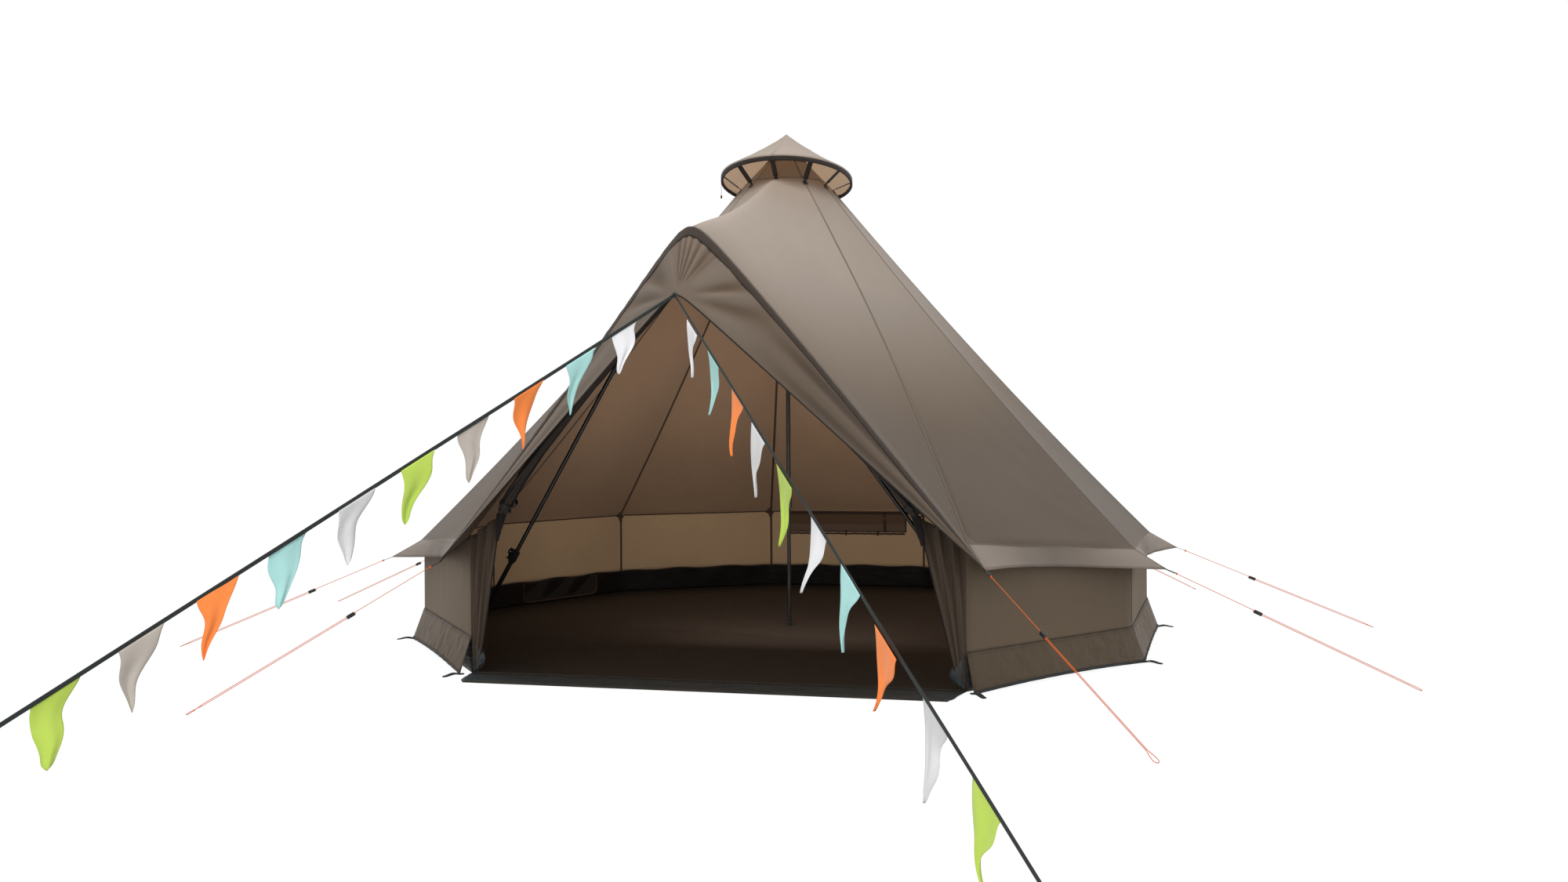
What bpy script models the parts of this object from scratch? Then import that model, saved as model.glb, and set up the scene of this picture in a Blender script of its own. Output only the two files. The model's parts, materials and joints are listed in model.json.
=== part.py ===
"""Bell tent with a hooded doorway, a vent cap and two bunting lines, piece by piece.

Metres, +Z up. The origin is on the ground at the foot of the centre pole, and the door faces -Y.
The floor has ten corners: one wide side is the doorway and nine narrow ones carry walls. Corners
are counted from the door's right-hand corner round the back to its left-hand corner.
"""

from math import atan2, cos, pi, radians, sin, sqrt, tan

import bmesh
import bpy
from mathutils import Matrix, Vector

UP = Vector((0, 0, 1))

# Clearances, cloth and cuts
GAP = 0.0003
SEAT_GAP = 0.0006
CLOTH = 0.0025
CLOTH_DROP = 0.0025
CUT_OVERRUN = 0.002

# Sides of round pieces
ROUND_SIDES = 16
PIN_SIDES = 10
CORD_SIDES = 8
KNOT_SIDES = 6
KNOT_ROWS = 3

# Plan
WALL_COUNT = 9
THIRD = WALL_COUNT // 3
DOOR_HALF_ANGLE = radians(34.1)
WALL_RADIUS = 2.075
CORNERS = [DOOR_HALF_ANGLE + 2 * (pi - DOOR_HALF_ANGLE) * i / WALL_COUNT for i in range(WALL_COUNT + 1)]
CHORD_SHARE = cos((CORNERS[1] - CORNERS[0]) / 2)

# Roof: seams run from the vent's edge down to the eave
VENT_RADIUS = 0.25
VENT_HEIGHT = 2.59
EAVE_OVERHANG = 0.015
EAVE_RADIUS = WALL_RADIUS + EAVE_OVERHANG
EAVE_HEIGHT = 0.55
ROOF_SAG = 0.05
GORE_SAG = 0.02
GORE_ROWS = 6
GORE_COLUMNS = 5
DOOR_EAVE_OVERHANG = 0.020
DOOR_EAVE_RADIUS = WALL_RADIUS + DOOR_EAVE_OVERHANG
DOOR_EAVE_RISE = 0.09
DOOR_EAVE_HEIGHT = EAVE_HEIGHT + DOOR_EAVE_RISE
DOOR_SEAM_SAG = 0.01
DOOR_SEAM_BOW = 0.05

# Eave flap: scalloped between tips that the guy lines pull on
FLAP_REACH = 0.160
FLAP_FALL = 0.09
TIP_RADIUS = EAVE_RADIUS + FLAP_REACH
TIP_HEIGHT = EAVE_HEIGHT - FLAP_FALL
DOOR_FLAP_REACH = 0.145
DOOR_FLAP_FALL = 0.10
DOOR_TIP_RADIUS = DOOR_EAVE_RADIUS + DOOR_FLAP_REACH
DOOR_TIP_HEIGHT = DOOR_EAVE_HEIGHT - DOOR_FLAP_FALL
FLAP_DROP = 0.09
FLAP_FLARE = 0.02
FLAP_ROWS = 2

# Hood over the doorway: its roof, the sleeve along the frame, and the pleated face
HOOD_SETBACK = 0.125
HOOD_FALL = 0.57
HOOD_REACH = WALL_RADIUS - HOOD_SETBACK
HOOD_HEIGHT = VENT_HEIGHT - HOOD_FALL
HOOD_ROUNDING = 0.06
ARCH_BOW = 0.055
RIDGE_SAG = 0.04
HOOD_APEX = Vector((0, -HOOD_REACH, HOOD_HEIGHT))
HOOD_SPAN = DOOR_TIP_RADIUS * sin(DOOR_HALF_ANGLE)
FACE_REACH = 0.207
FACE_FALL = 0.318
TIE_REACH = HOOD_REACH + FACE_REACH
TIE_HEIGHT = HOOD_HEIGHT - FACE_FALL
TIE_POINT = Vector((0, -TIE_REACH, TIE_HEIGHT))
HEM_ROUNDING = 0.03
SLEEVE_WIDTH = 0.028
SLEEVE_RUNOUT_SHARE = 0.12
FACE_SLEEVE_SHARE = 0.3
FACE_END_SHARE = 0.93
FACE_COLUMNS = 14
FACE_ROWS = 4
FACE_CROWDING = 1.6
PLEAT_DEPTH = 0.005
RAY_STEPS = 20

# Walls and the skirt round their foot
WALL_ROWS = 2
WALL_COLUMNS = 2
SKIRT_TOP = 0.172
SKIRT_FLARE = 0.065
SKIRT_RADIUS = WALL_RADIUS + SKIRT_FLARE
SKIRT_LIFT = 0.015
SKIRT_ROWS = 2
SKIRT_COLUMNS = 4
PEG_LOOP_LENGTH = 0.085
PEG_LOOP_WIDTH = 0.022
PEG_LOOP_SHEET = 0.002

# Groundsheet: a tub with its front edge folded flat as a sill
FLOOR_SHEET = 0.003
TUB_SHEET = 0.0035
TUB_HEIGHT = 0.155
SILL_WIDTH = 0.22
SILL_HALF_LENGTH = 1.09

# Window in the back wall
WINDOW_WIDTH = 0.90
WINDOW_HEIGHT = 0.14
WINDOW_SILL = 0.405
NET_SHEET = 0.0012

# Cap over the vent, higher on the door side by its tilt
CAP_RISE = 0.266
CAP_RIM_RISE = 0.044
CAP_OVERHANG = 0.137
CAP_RADIUS = VENT_RADIUS + CAP_OVERHANG
CAP_RIM_HEIGHT = VENT_HEIGHT + CAP_RIM_RISE
CAP_HEIGHT = CAP_RIM_HEIGHT + CAP_RISE
CAP_SLOPE = CAP_RISE / CAP_RADIUS
CAP_TILT = radians(9)
CAP_LIP = 0.030
CAP_SKIN = 0.004
CAP_CROWN_RADIUS = 0.002
CAP_SIDES = 30
HOOP_RADIUS = 0.003
HOOP_SIDES = 6
HOOP_DROP_SHARE = 0.75
STRAP_WIDTH = 0.020
STRAP_SHEET = 0.0015
STRAP_FOOT_SHARE = 0.012
STRAP_RISE = 0.013
PULL_CORD_ANGLE = radians(-77)
PULL_CORD_RADIUS = 0.001
PULL_CORD_LENGTH = 0.085
TOGGLE_RADIUS = 0.005
TOGGLE_LENGTH = 0.018

# Centre pole: a lower tube that slides up into the upper one
POLE_RADIUS = 0.0125
POLE_WALL = 0.0010
POLE_BORE = POLE_RADIUS - POLE_WALL
POLE_LOWER_RADIUS = 0.0110
POLE_SPLIT_HEIGHT = 0.70
POLE_OVERLAP = 0.30
POLE_TOP_DROP = 0.024
POLE_FOOT_RADIUS = 0.017
POLE_FOOT_HEIGHT = 0.022
PLUG_HEIGHT = 0.020
PLUG_RADIUS = 0.006

# A-frame in the hood: two legs whose lower tubes slide up over the upper ones
LEG_UPPER_RADIUS = 0.0095
LEG_LOWER_RADIUS = 0.0110
LEG_WALL = 0.0011
LEG_TOP_HALF = 0.030
LEG_TOP_SETBACK = 0.045
LEG_TOP_REACH = HOOD_REACH - LEG_TOP_SETBACK
LEG_FOOT_SETBACK = 0.11
LEG_FOOT_RADIUS = WALL_RADIUS - LEG_FOOT_SETBACK
LEG_FOOT_ANGLE = radians(45)
LEG_LOCK_SHARE = 0.27
LEG_OVERLAP = 0.35
HOOD_PLAY = 0.005
ELBOW_STEPS = 8
SHOE_RADIUS = 0.018
SHOE_ROWS = 5
SHOE_SIDES = 12

# Clamp and cam lever on each telescopic pole
CLAMP_HALF = 0.0155
CLAMP_LENGTH = 0.060
CLAMP_RISE = 0.006
EAR_REACH = 0.020
EAR_LENGTH = 0.024
EAR_SHEET = 0.003
LEVER_WIDTH = 0.012
LEVER_LENGTH = 0.040
LEVER_SHEET = 0.009
LEVER_TOOTH = 0.008
LEVER_HEAD_STEPS = 4
PIN_RADIUS = 0.0025
PIN_PLAY = 0.0004

# Guy lines, with the tabs that they tie to and their runners
TAB_LENGTH = 0.045
TAB_WIDTH = 0.015
TAB_SHEET = 0.002
TAB_SEWN = 0.010
TAB_SLANT_SHARE = 1.4
GUY_RADIUS = 0.0015
GUY_REACH = 1.10
GUY_GROUND_RADIUS = TIP_RADIUS + GUY_REACH
GUY_PAIR_SPACING = 0.006
GUY_LOOP_RADIUS = 0.016
GUY_LOOP_LENGTH = 0.07
GUY_STEPS = 2
GUY_LOOP_STEPS = 8
RUNNER_SHARE = 0.36
RUNNER_LENGTH = 0.038
RUNNER_WIDTH = 0.010
RUNNER_RIM = 0.0030
RUNNER_BORE = 0.0022
KNOT_RADIUS = 0.0035

# Bunting lines
BUNTING_SPREAD = 1.65
BUNTING_REACH = 2.428
BUNTING_GROUND = Vector((BUNTING_SPREAD, -TIE_REACH - BUNTING_REACH, 0))
TAPE_WIDTH = 0.014
TAPE_SHEET = 0.0025
TIE_KNOT_RADIUS = 0.014
TIE_KNOT_ROWS = 9
FLAG_COUNT = 10
FLAG_START_LEFT = 0.202
FLAG_START_RIGHT = 0.222
FLAG_SPACING_LEFT = 0.26
FLAG_SPACING_RIGHT = 0.282
FLAG_WIDTH = 0.15
FLAG_TIP_WIDTH = 0.012
FLAG_DROP = 0.24
FLAG_SHEET = 0.0015
FLAG_FOLD = 0.010
FLAG_SEWN = 0.003
FLAG_TAPER = 1.3
FLAG_HANG_SHARE = 0.22
FLAG_ROWS = 3
FLAG_COLUMNS = 3

# Door leaves, rolled and tied back, with their net leaves behind them
TIE_BACK_OFFSET = Vector((-0.203, -0.082, 0.125))
DOOR_CORNER = Vector((sin(DOOR_HALF_ANGLE), -cos(DOOR_HALF_ANGLE), 0)) * WALL_RADIUS
TIE_BACK = DOOR_CORNER + UP * DOOR_EAVE_HEIGHT + TIE_BACK_OFFSET
ROLL_WAY = (TIE_BACK - TIE_POINT).normalized()
ROLL_RADIUS = 0.027
ROLL_FOLD = 0.004
ROLL_SIDES = 12
ROLL_STEPS = 8
ROLL_TOP_SHARE = 0.5
ROLL_TURN = 4
ROLL_INSET = 0.062
ROLL_RISE = 0.030
NET_ROLL_RADIUS = 0.017
NET_ROLL_SIDES = 8
NET_ROLL_SPACING = ROLL_RADIUS + NET_ROLL_RADIUS + SEAT_GAP
CURTAIN_SHEET = 0.004
CURTAIN_FOLD = 0.012
CURTAIN_FOOT_FOLD_SHARE = 0.4
CURTAIN_FOOT_WIDTH = 0.03
CURTAIN_SLANT = 0.115
CURTAIN_ROWS = 4
CURTAIN_COLUMNS = 12
TIE_STRAP_WIDTH = 0.022
TIE_STRAP_SHEET = 0.002
TIE_STRAP_SHARE = 0.5

# Pocket flap low on the left wall
POCKET_WALL = 6
POCKET_WIDTH = 0.67
POCKET_HEIGHT = 0.135
POCKET_SHEET = 0.003
POCKET_TOP = 0.150
POCKET_CORNER = 0.05
ROUND_CORNER_SHARE = 1 - cos(pi / 4)

COLOURS = {
    "canopy": ((0.36, 0.30, 0.25), 0.85, 0.0),
    "wall": ((0.29, 0.24, 0.20), 0.85, 0.0),
    "skirt": ((0.20, 0.17, 0.14), 0.45, 0.0),
    "sleeve": ((0.13, 0.10, 0.08), 0.80, 0.0),
    "groundsheet": ((0.03, 0.03, 0.03), 0.45, 0.0),
    "door": ((0.20, 0.16, 0.13), 0.85, 0.0),
    "net": ((0.02, 0.02, 0.02), 0.90, 0.0),
    "webbing": ((0.03, 0.03, 0.03), 0.80, 0.0),
    "steel": ((0.02, 0.02, 0.02), 0.40, 0.8),
    "plastic": ((0.02, 0.02, 0.02), 0.50, 0.0),
    "guy_cord": ((0.80, 0.20, 0.03), 0.70, 0.0),
    "tape": ((0.13, 0.15, 0.16), 0.80, 0.0),
}


def clear_scene():
    """Remove what the file holds at the start."""
    for obj in list(bpy.data.objects):
        bpy.data.objects.remove(obj, do_unlink=True)


def material(name):
    """A plain shader for one finish, made once."""
    found = bpy.data.materials.get(name)
    if found:
        return found
    colour, roughness, metallic = COLOURS[name]
    made = bpy.data.materials.new(name)
    made.use_nodes = True
    shader = made.node_tree.nodes["Principled BSDF"]
    shader.inputs["Base Color"].default_value = (*colour, 1)
    shader.inputs["Roughness"].default_value = roughness
    shader.inputs["Metallic"].default_value = metallic
    return made


# Small helpers for numbers and points


def mix(a, b, share):
    """The value or point that lies share of the way from a to b."""
    return a + (b - a) * share


def bulge(share):
    """0 at both ends of a span and 1 in its middle."""
    return 4 * share * (1 - share)


def toward(angle):
    """The level unit direction at an angle from the door, turning to the right."""
    return Vector((sin(angle), -cos(angle), 0))


def mirrored(point, side):
    """The point on the right, side 1, or its mirror image on the left, side -1."""
    return Vector((side * point.x, point.y, point.z))


def axis_frame(origin, along, outward):
    """A matrix at origin with local Z along the axis and local X as near outward as fits."""
    z = along.normalized()
    y = z.cross(outward).normalized()
    x = y.cross(z)
    turn = Matrix((x, y, z)).transposed().to_4x4()
    return Matrix.Translation(origin) @ turn


# Mesh builders


def as_object(name, mesh, finish, frame=None, smooth=False):
    """An object in the scene with one material, placed by frame."""
    obj = bpy.data.objects.new(name, mesh)
    bpy.context.scene.collection.objects.link(obj)
    mesh.materials.append(material(finish))
    if frame is not None:
        obj.matrix_world = frame
    if smooth:
        mesh.shade_smooth()
        mesh.set_sharp_from_angle(angle=radians(40))
    return obj


def finished(name, shells):
    """One mesh from shells of (points, faces), each closed, with its faces turned out."""
    build = bmesh.new()
    for points, faces in shells:
        corners = [build.verts.new(p) for p in points]
        made = [build.faces.new([corners[i] for i in face]) for face in faces]
        bmesh.ops.recalc_face_normals(build, faces=made)
    mesh = bpy.data.meshes.new(name)
    build.to_mesh(mesh)
    build.free()
    return mesh


def skin(outer, inner, wrap=False):
    """A closed shell between two like grids of points, its cells split along one diagonal."""
    rows = len(outer)
    columns = len(outer[0])
    points = [p for grid in (outer, inner) for row in grid for p in row]
    faces = []

    def at(side, row, column):
        return (side * rows + row) * columns + column % columns

    spans = columns if wrap else columns - 1
    for row in range(rows - 1):
        for column in range(spans):
            for side in (0, 1):
                a = at(side, row, column)
                b = at(side, row, column + 1)
                c = at(side, row + 1, column + 1)
                d = at(side, row + 1, column)
                faces += [(a, b, c), (a, c, d)] if side else [(c, b, a), (d, c, a)]
    for row in (0, rows - 1):
        for column in range(spans):
            low = (at(0, row, column), at(0, row, column + 1))
            faces.append(low + (at(1, row, column + 1), at(1, row, column)))
    if not wrap:
        for column in (0, columns - 1):
            for row in range(rows - 1):
                low = (at(0, row, column), at(0, row + 1, column))
                faces.append(low + (at(1, row + 1, column), at(1, row, column)))
    return points, faces


def loft(sections):
    """A closed shell through like rings of points, with a flat end at each side."""
    count = len(sections[0])
    points = [p for ring in sections for p in ring]
    faces = []
    for row in range(len(sections) - 1):
        for i in range(count):
            a = row * count + i
            b = row * count + (i + 1) % count
            faces += [(a, b, b + count), (a, b + count, a + count)]
    faces.append(tuple(range(count)))
    faces.append(tuple(range(len(points) - count, len(points))))
    return points, faces


def block(low, high):
    """A box between two corners."""
    xs, ys, zs = zip(low, high)
    points = [Vector((x, y, z)) for x in xs for y in ys for z in zs]
    faces = [(0, 1, 3, 2), (4, 6, 7, 5), (0, 4, 5, 1), (2, 3, 7, 6), (0, 2, 6, 4), (1, 5, 7, 3)]
    return points, faces


def bar(start, end, width, sheet, side):
    """A flat strap from start to end, as wide as width across the side direction."""
    along = (end - start).normalized()
    across = (side - along * side.dot(along)).normalized() * width / 2
    rise = along.cross(across).normalized() * sheet / 2
    signs = ((-1, -1), (1, -1), (1, 1), (-1, 1))
    return loft([[p + a * across + b * rise for a, b in signs] for p in (start, end)])


def ring(radius, sides, height=0):
    """Points round local Z at a height."""
    angles = [2 * pi * i / sides for i in range(sides)]
    return [Vector((radius * cos(a), radius * sin(a), height)) for a in angles]


def round_bar(start, end, radius, sides=ROUND_SIDES):
    """A solid round bar from start to end."""
    along = end - start
    frame = axis_frame(start, along, along.orthogonal())
    return loft([[frame @ p for p in ring(radius, sides, z)] for z in (0, along.length)])


def pipe(radius, bore, low, high):
    """A round tube along local Z with an open bore."""
    outer = [ring(radius, ROUND_SIDES, z) for z in (low, high)]
    inner = [ring(bore, ROUND_SIDES, z) for z in (low, high)]
    return skin(outer, inner, wrap=True)


def turned_bar(profile):
    """A solid turned about local Z, through (radius, height) points from its lower end up."""
    return loft([ring(r, ROUND_SIDES, z) for r, z in profile])


def ball(centre, radius, rows, sides):
    """A round knob of radius about centre, with flattened poles."""
    tilts = [pi * (row + 0.5) / (rows + 1) for row in range(rows + 1)]
    return loft([[centre + p for p in ring(radius * sin(t), sides, radius * cos(t))] for t in tilts])


def helper(name, shells, frame=None):
    """A hidden solid, or a few, that only cut or join another."""
    obj = as_object(name, finished(name, shells), "plastic", frame)
    obj.hide_render = True
    obj.display_type = "WIRE"
    return obj


def boolean(obj, other, operation):
    """Cut obj with other, or join the two into one body."""
    change = obj.modifiers.new(operation.title(), "BOOLEAN")
    change.operation = operation
    change.object = other
    change.solver = "EXACT"


# Plan of the tent


def is_door(corner):
    """True at the two corners beside the doorway."""
    return corner in (0, WALL_COUNT)


def plan(corner, radius, height):
    """A point over a corner of the floor."""
    return toward(CORNERS[corner]) * radius + UP * height


def eave(corner):
    """Radius, height and sag of the seam that ends at a corner."""
    if is_door(corner):
        return DOOR_EAVE_RADIUS, DOOR_EAVE_HEIGHT, DOOR_SEAM_SAG
    return EAVE_RADIUS, EAVE_HEIGHT, ROOF_SAG


def seam(corner, share):
    """A point of a roof seam, from the vent at share 0 to the eave at share 1."""
    radius, height, sag = eave(corner)
    point = plan(corner, mix(VENT_RADIUS, radius, share), mix(VENT_HEIGHT, height, share))
    point -= UP * sag * bulge(share)
    if is_door(corner):
        point += into_group(corner) * DOOR_SEAM_BOW * sin(pi * share)
    return point


def into_group(corner):
    """The level direction from the last seam of a group of panels back over its own panels."""
    if corner % THIRD:
        return Vector()
    way = 1 if corner == 0 else -1
    return Vector((cos(CORNERS[corner]), sin(CORNERS[corner]), 0)) * way


def tip(corner):
    """The point of the eave flap that a guy line pulls on."""
    if is_door(corner):
        return plan(corner, DOOR_TIP_RADIUS, DOOR_TIP_HEIGHT)
    return plan(corner, TIP_RADIUS, TIP_HEIGHT)


def under_eave(corner, radius):
    """Height of the roof's underside over a corner, just inside the eave."""
    edge, height, sag = eave(corner)
    slope = (VENT_HEIGHT - height - 4 * sag) / (edge - VENT_RADIUS)
    return height - CLOTH_DROP + (edge - CLOTH - radius) * slope


def cloth_inside(angle):
    """The way from a roof cloth's outer face to its inner face."""
    return -toward(angle) * CLOTH - UP * CLOTH_DROP


# Roof


def across_panels(first, ends, columns, shape=None):
    """One row of points over the panels between corner points.

    ends holds a point for each corner from first on. shape moves a point of a panel inwards.
    """
    row = []
    for k in range(len(ends) - 1):
        for i in range(columns + (k == len(ends) - 2)):
            t = i / columns
            point = mix(ends[k], ends[k + 1], t)
            row.append(shape(first + k, t, point) if shape else point)
    row[0] += (row[1] - row[0]).normalized() * GAP / 2
    row[-1] += (row[-2] - row[-1]).normalized() * GAP / 2
    return row


def lining(row, first, count, columns, depth, drop):
    """The inner face's points behind a row: the same way back over each corner, shared between."""
    inner = []
    for number, point in enumerate(row):
        k = min(number // columns, count - 1)
        t = (number - k * columns) / columns
        back = mix(toward(CORNERS[first + k]), toward(CORNERS[first + k + 1]), t)
        inner.append(point - back * depth - UP * drop)
    return inner


def middle_of(corner):
    """The level direction to the middle of the panel after a corner."""
    return toward((CORNERS[corner] + CORNERS[corner + 1]) / 2)


def gores(first, count):
    """Neighbouring roof panels sewn into one sheet, with their stretch of the eave flap."""
    outer = []
    corners = range(first, first + count + 1)
    for i in range(GORE_ROWS + 1):
        share = i / GORE_ROWS

        def sagging(k, t, point):
            way = (middle_of(k) + UP).normalized()
            return point - way * GORE_SAG * bulge(t) * sin(pi * share) ** 2

        outer.append(across_panels(first, [seam(k, share) for k in corners], GORE_COLUMNS, sagging))
    fold = outer[-1]
    for i in range(FLAP_ROWS):
        flap = (i + 1) / FLAP_ROWS
        row = across_panels(first, [mix(seam(k, 1), tip(k), flap) for k in corners], GORE_COLUMNS)
        for number, point in enumerate(row):
            k = min(number // GORE_COLUMNS, count - 1)
            t = (number - k * GORE_COLUMNS) / GORE_COLUMNS
            scallop = fold[number] + (middle_of(first + k) * FLAP_FLARE - UP * FLAP_DROP) * flap
            row[number] = mix(point, scallop, bulge(t))
        outer.append(row)
    inner = [lining(row, first, count, GORE_COLUMNS, CLOTH, CLOTH_DROP) for row in outer]
    return skin(outer, inner)


def rounded_share(x, reach, rounding):
    """How far down a leg of the hood x lies: 0 over the middle, 1 at reach, round at the top."""
    fall = sqrt(x * x + rounding * rounding) - rounding
    return fall / (sqrt(reach * reach + rounding * rounding) - rounding)


def hood_line(top, rounding, x):
    """A point of the hood's right-hand edge that runs from top to the flap's tip."""
    point = mix(top, tip(0), rounded_share(x, HOOD_SPAN, rounding))
    return Vector((x, point.y, point.z))


def arch(x):
    """The line over the A-frame where the roof turns into the face, drawn back part way down."""
    drawn_back = ARCH_BOW * bulge(rounded_share(x, HOOD_SPAN, HOOD_ROUNDING))
    return hood_line(HOOD_APEX, HOOD_ROUNDING, x) + Vector((0, drawn_back, 0))


def hem(x):
    """The lower edge of the hood's face, over the doorway."""
    return hood_line(TIE_POINT, HEM_ROUNDING, x)


def full_seam(share):
    """The right-hand door seam carried on over the flap to its tip."""
    turn = (DOOR_EAVE_RADIUS - VENT_RADIUS) / (DOOR_TIP_RADIUS - VENT_RADIUS)
    if share <= turn:
        return seam(0, share / turn)
    return mix(seam(0, 1), tip(0), (share - turn) / (1 - turn))


def hood_ray(across, share):
    """A point of the hood's roof: across 0 is the door seam, 1 the ridge, share runs down."""
    top = mix(plan(0, VENT_RADIUS, VENT_HEIGHT), toward(0) * VENT_RADIUS + UP * VENT_HEIGHT, across)
    low = arch(HOOD_SPAN * (1 - across))
    bend = full_seam(share) - mix(plan(0, VENT_RADIUS, VENT_HEIGHT), tip(0), share)
    sag = UP * RIDGE_SAG * (across * bulge(share)) ** 2
    return mix(top, low, share) + bend * (1 - across) ** 2 - sag


def sleeve_taper(across):
    """The sleeve is full width along the frame and runs out at the flap's tip."""
    return min(1, across / SLEEVE_RUNOUT_SHARE)


def roof_edge(across):
    """Where the hood's roof stops short of the arch, at the sleeve."""
    low = arch(HOOD_SPAN * (1 - across))
    back = hood_ray(across, 1 - 1 / RAY_STEPS)
    return SLEEVE_WIDTH * sleeve_taper(across) / ((low - back).length * RAY_STEPS)


def hood_inside(point):
    """The way from the hood's outer face to its inner face at a point."""
    return cloth_inside(atan2(point.x, -point.y))


def placed(grid, side):
    """A grid of points on the right or mirrored to the left."""
    return [[mirrored(p, side) for p in row] for row in grid]


def hood_roof(side):
    """The roof panel from the door seam round to the ridge of the hood."""
    turn = (DOOR_EAVE_RADIUS - VENT_RADIUS) / (DOOR_TIP_RADIUS - VENT_RADIUS)
    shares = [turn * i / GORE_ROWS for i in range(GORE_ROWS + 1)]
    shares += [mix(turn, 1, (i + 1) / FLAP_ROWS) for i in range(FLAP_ROWS)]
    stations = [0] + face_stations()
    backs = [hood_inside(arch(HOOD_SPAN * (1 - across))) for across in stations]
    outer = []
    for share in shares:
        row = [hood_ray(across, share * (1 - roof_edge(across))) for across in stations]
        row[0] += (row[1] - row[0]).normalized() * GAP / 2
        row[-1].x = GAP / 2
        outer.append(row)
    inner = [[p + back for p, back in zip(row, backs)] for row in outer]
    return skin(placed(outer, side), placed(inner, side))


def face_point(x, share):
    """A point of the hood's face between the arch, share 0, and the hem, share 1."""
    return mix(arch(x), hem(x), share)


def face_start(across):
    """Share of the face's height that the sleeve covers."""
    x = HOOD_SPAN * (1 - across)
    height = (arch(x) - hem(x)).length
    return min(SLEEVE_WIDTH / height, FACE_SLEEVE_SHARE) * sleeve_taper(across)


def both_sides(rows):
    """Rows from the right-hand tip to the middle, carried on over their mirror images."""
    return rows + [[mirrored(p, -1) for p in row] for row in rows[-2::-1]]


def face_stations():
    """Where the hood's face and sleeve have their rows, closer towards the middle, across 1."""
    shares = [1 - i / FACE_COLUMNS for i in range(FACE_COLUMNS + 1)]
    return [1 - FACE_END_SHARE * share ** FACE_CROWDING for share in shares]


def hood_sleeve():
    """The dark sleeve along the arch, from one end to the other."""
    outer = []
    for across in face_stations():
        crest = arch(HOOD_SPAN * (1 - across))
        above = hood_ray(across, 1 - roof_edge(across))
        below = face_point(crest.x, face_start(across))
        above = above + (crest - above).normalized() * GAP
        below = below + (crest - below).normalized() * GAP
        outer.append([above, crest, below])
    inner = [[p + hood_inside(row[1]) for p in row] for row in outer]
    return skin(both_sides(outer), both_sides(inner))


def hood_face():
    """The hood's face, with the soft pleats that run down to the tie point."""
    outer = []
    inner = []
    for number, across in enumerate(face_stations()):
        x = HOOD_SPAN * (1 - across)
        depth = PLEAT_DEPTH * across ** 2 * (1 if number % 2 else -1)
        row = []
        for j in range(FACE_ROWS + 1):
            point = face_point(x, mix(face_start(across), 1, j / FACE_ROWS))
            row.append(point - Vector((0, depth * sin(pi * j / FACE_ROWS), 0)))
        outer.append(row)
        inner.append([p + hood_inside(arch(x)) for p in row])
    return skin(both_sides(outer), both_sides(inner))


def make_roof():
    """Three groups of gores, the hood's two roof panels, its sleeve and its face."""
    for number, place in enumerate(("right", "back", "left")):
        first = number * THIRD
        roof = as_object(f"roof_{place}", finished("roof", [gores(first, THIRD)]), "canopy")
        owned = range(first + (number > 0), first + THIRD + 1)
        boolean(roof, helper(f"roof_{place}_tabs", [guy_tab(k) for k in owned]), "UNION")
    as_object("hood_right", finished("hood_right", [hood_roof(1)]), "canopy")
    as_object("hood_left", finished("hood_left", [hood_roof(-1)]), "canopy")
    as_object("hood_sleeve", finished("hood_sleeve", [hood_sleeve()]), "sleeve")
    as_object("hood_face", finished("hood_face", [hood_face()]), "canopy")


# Walls, skirt, window and groundsheet


def walls(first, count):
    """Neighbouring upright walls in one sheet, from the tub's rim to the roof's underside."""
    outer = []
    for i in range(WALL_ROWS + 1):
        ends = []
        for k in range(first, first + count + 1):
            top = under_eave(k, WALL_RADIUS) - SEAT_GAP
            ends.append(plan(k, WALL_RADIUS, mix(TUB_HEIGHT + GAP, top, i / WALL_ROWS)))
        outer.append(across_panels(first, ends, WALL_COLUMNS))
    inner = [lining(row, first, count, WALL_COLUMNS, CLOTH, 0) for row in outer]
    return skin(outer, inner)


def window_box(play, depth):
    """The window's outline in the back wall, grown by play, as a block."""
    face = WALL_RADIUS * CHORD_SHARE
    half = WINDOW_WIDTH / 2 + play
    low = (-half, face - CLOTH * CHORD_SHARE - depth, WINDOW_SILL - play)
    high = (half, face + depth, WINDOW_SILL + WINDOW_HEIGHT + play)
    return block(low, high)


def skirt():
    """The mud skirt round the walls: it flares to the ground and lifts between the pegs."""
    outer = []
    for i in range(SKIRT_ROWS + 1):
        share = i / SKIRT_ROWS
        radius = mix(WALL_RADIUS + GAP + CLOTH, SKIRT_RADIUS, share)

        def lifted(_, t, point):
            return point + UP * SKIRT_LIFT * bulge(t) * share

        ends = [plan(k, radius, mix(SKIRT_TOP, 0, share)) for k in range(WALL_COUNT + 1)]
        outer.append(across_panels(0, ends, SKIRT_COLUMNS, lifted))
    inner = [lining(row, 0, WALL_COUNT, SKIRT_COLUMNS, CLOTH, 0) for row in outer]
    return skin(outer, inner)


def peg_loop(corner):
    """The flat loop for a peg, sewn to the skirt's foot at a corner."""
    start = plan(corner, SKIRT_RADIUS - CLOTH, PEG_LOOP_SHEET / 2)
    way = toward(CORNERS[corner])
    return bar(start, start + way * PEG_LOOP_LENGTH, PEG_LOOP_WIDTH, PEG_LOOP_SHEET, way.cross(UP))


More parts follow.
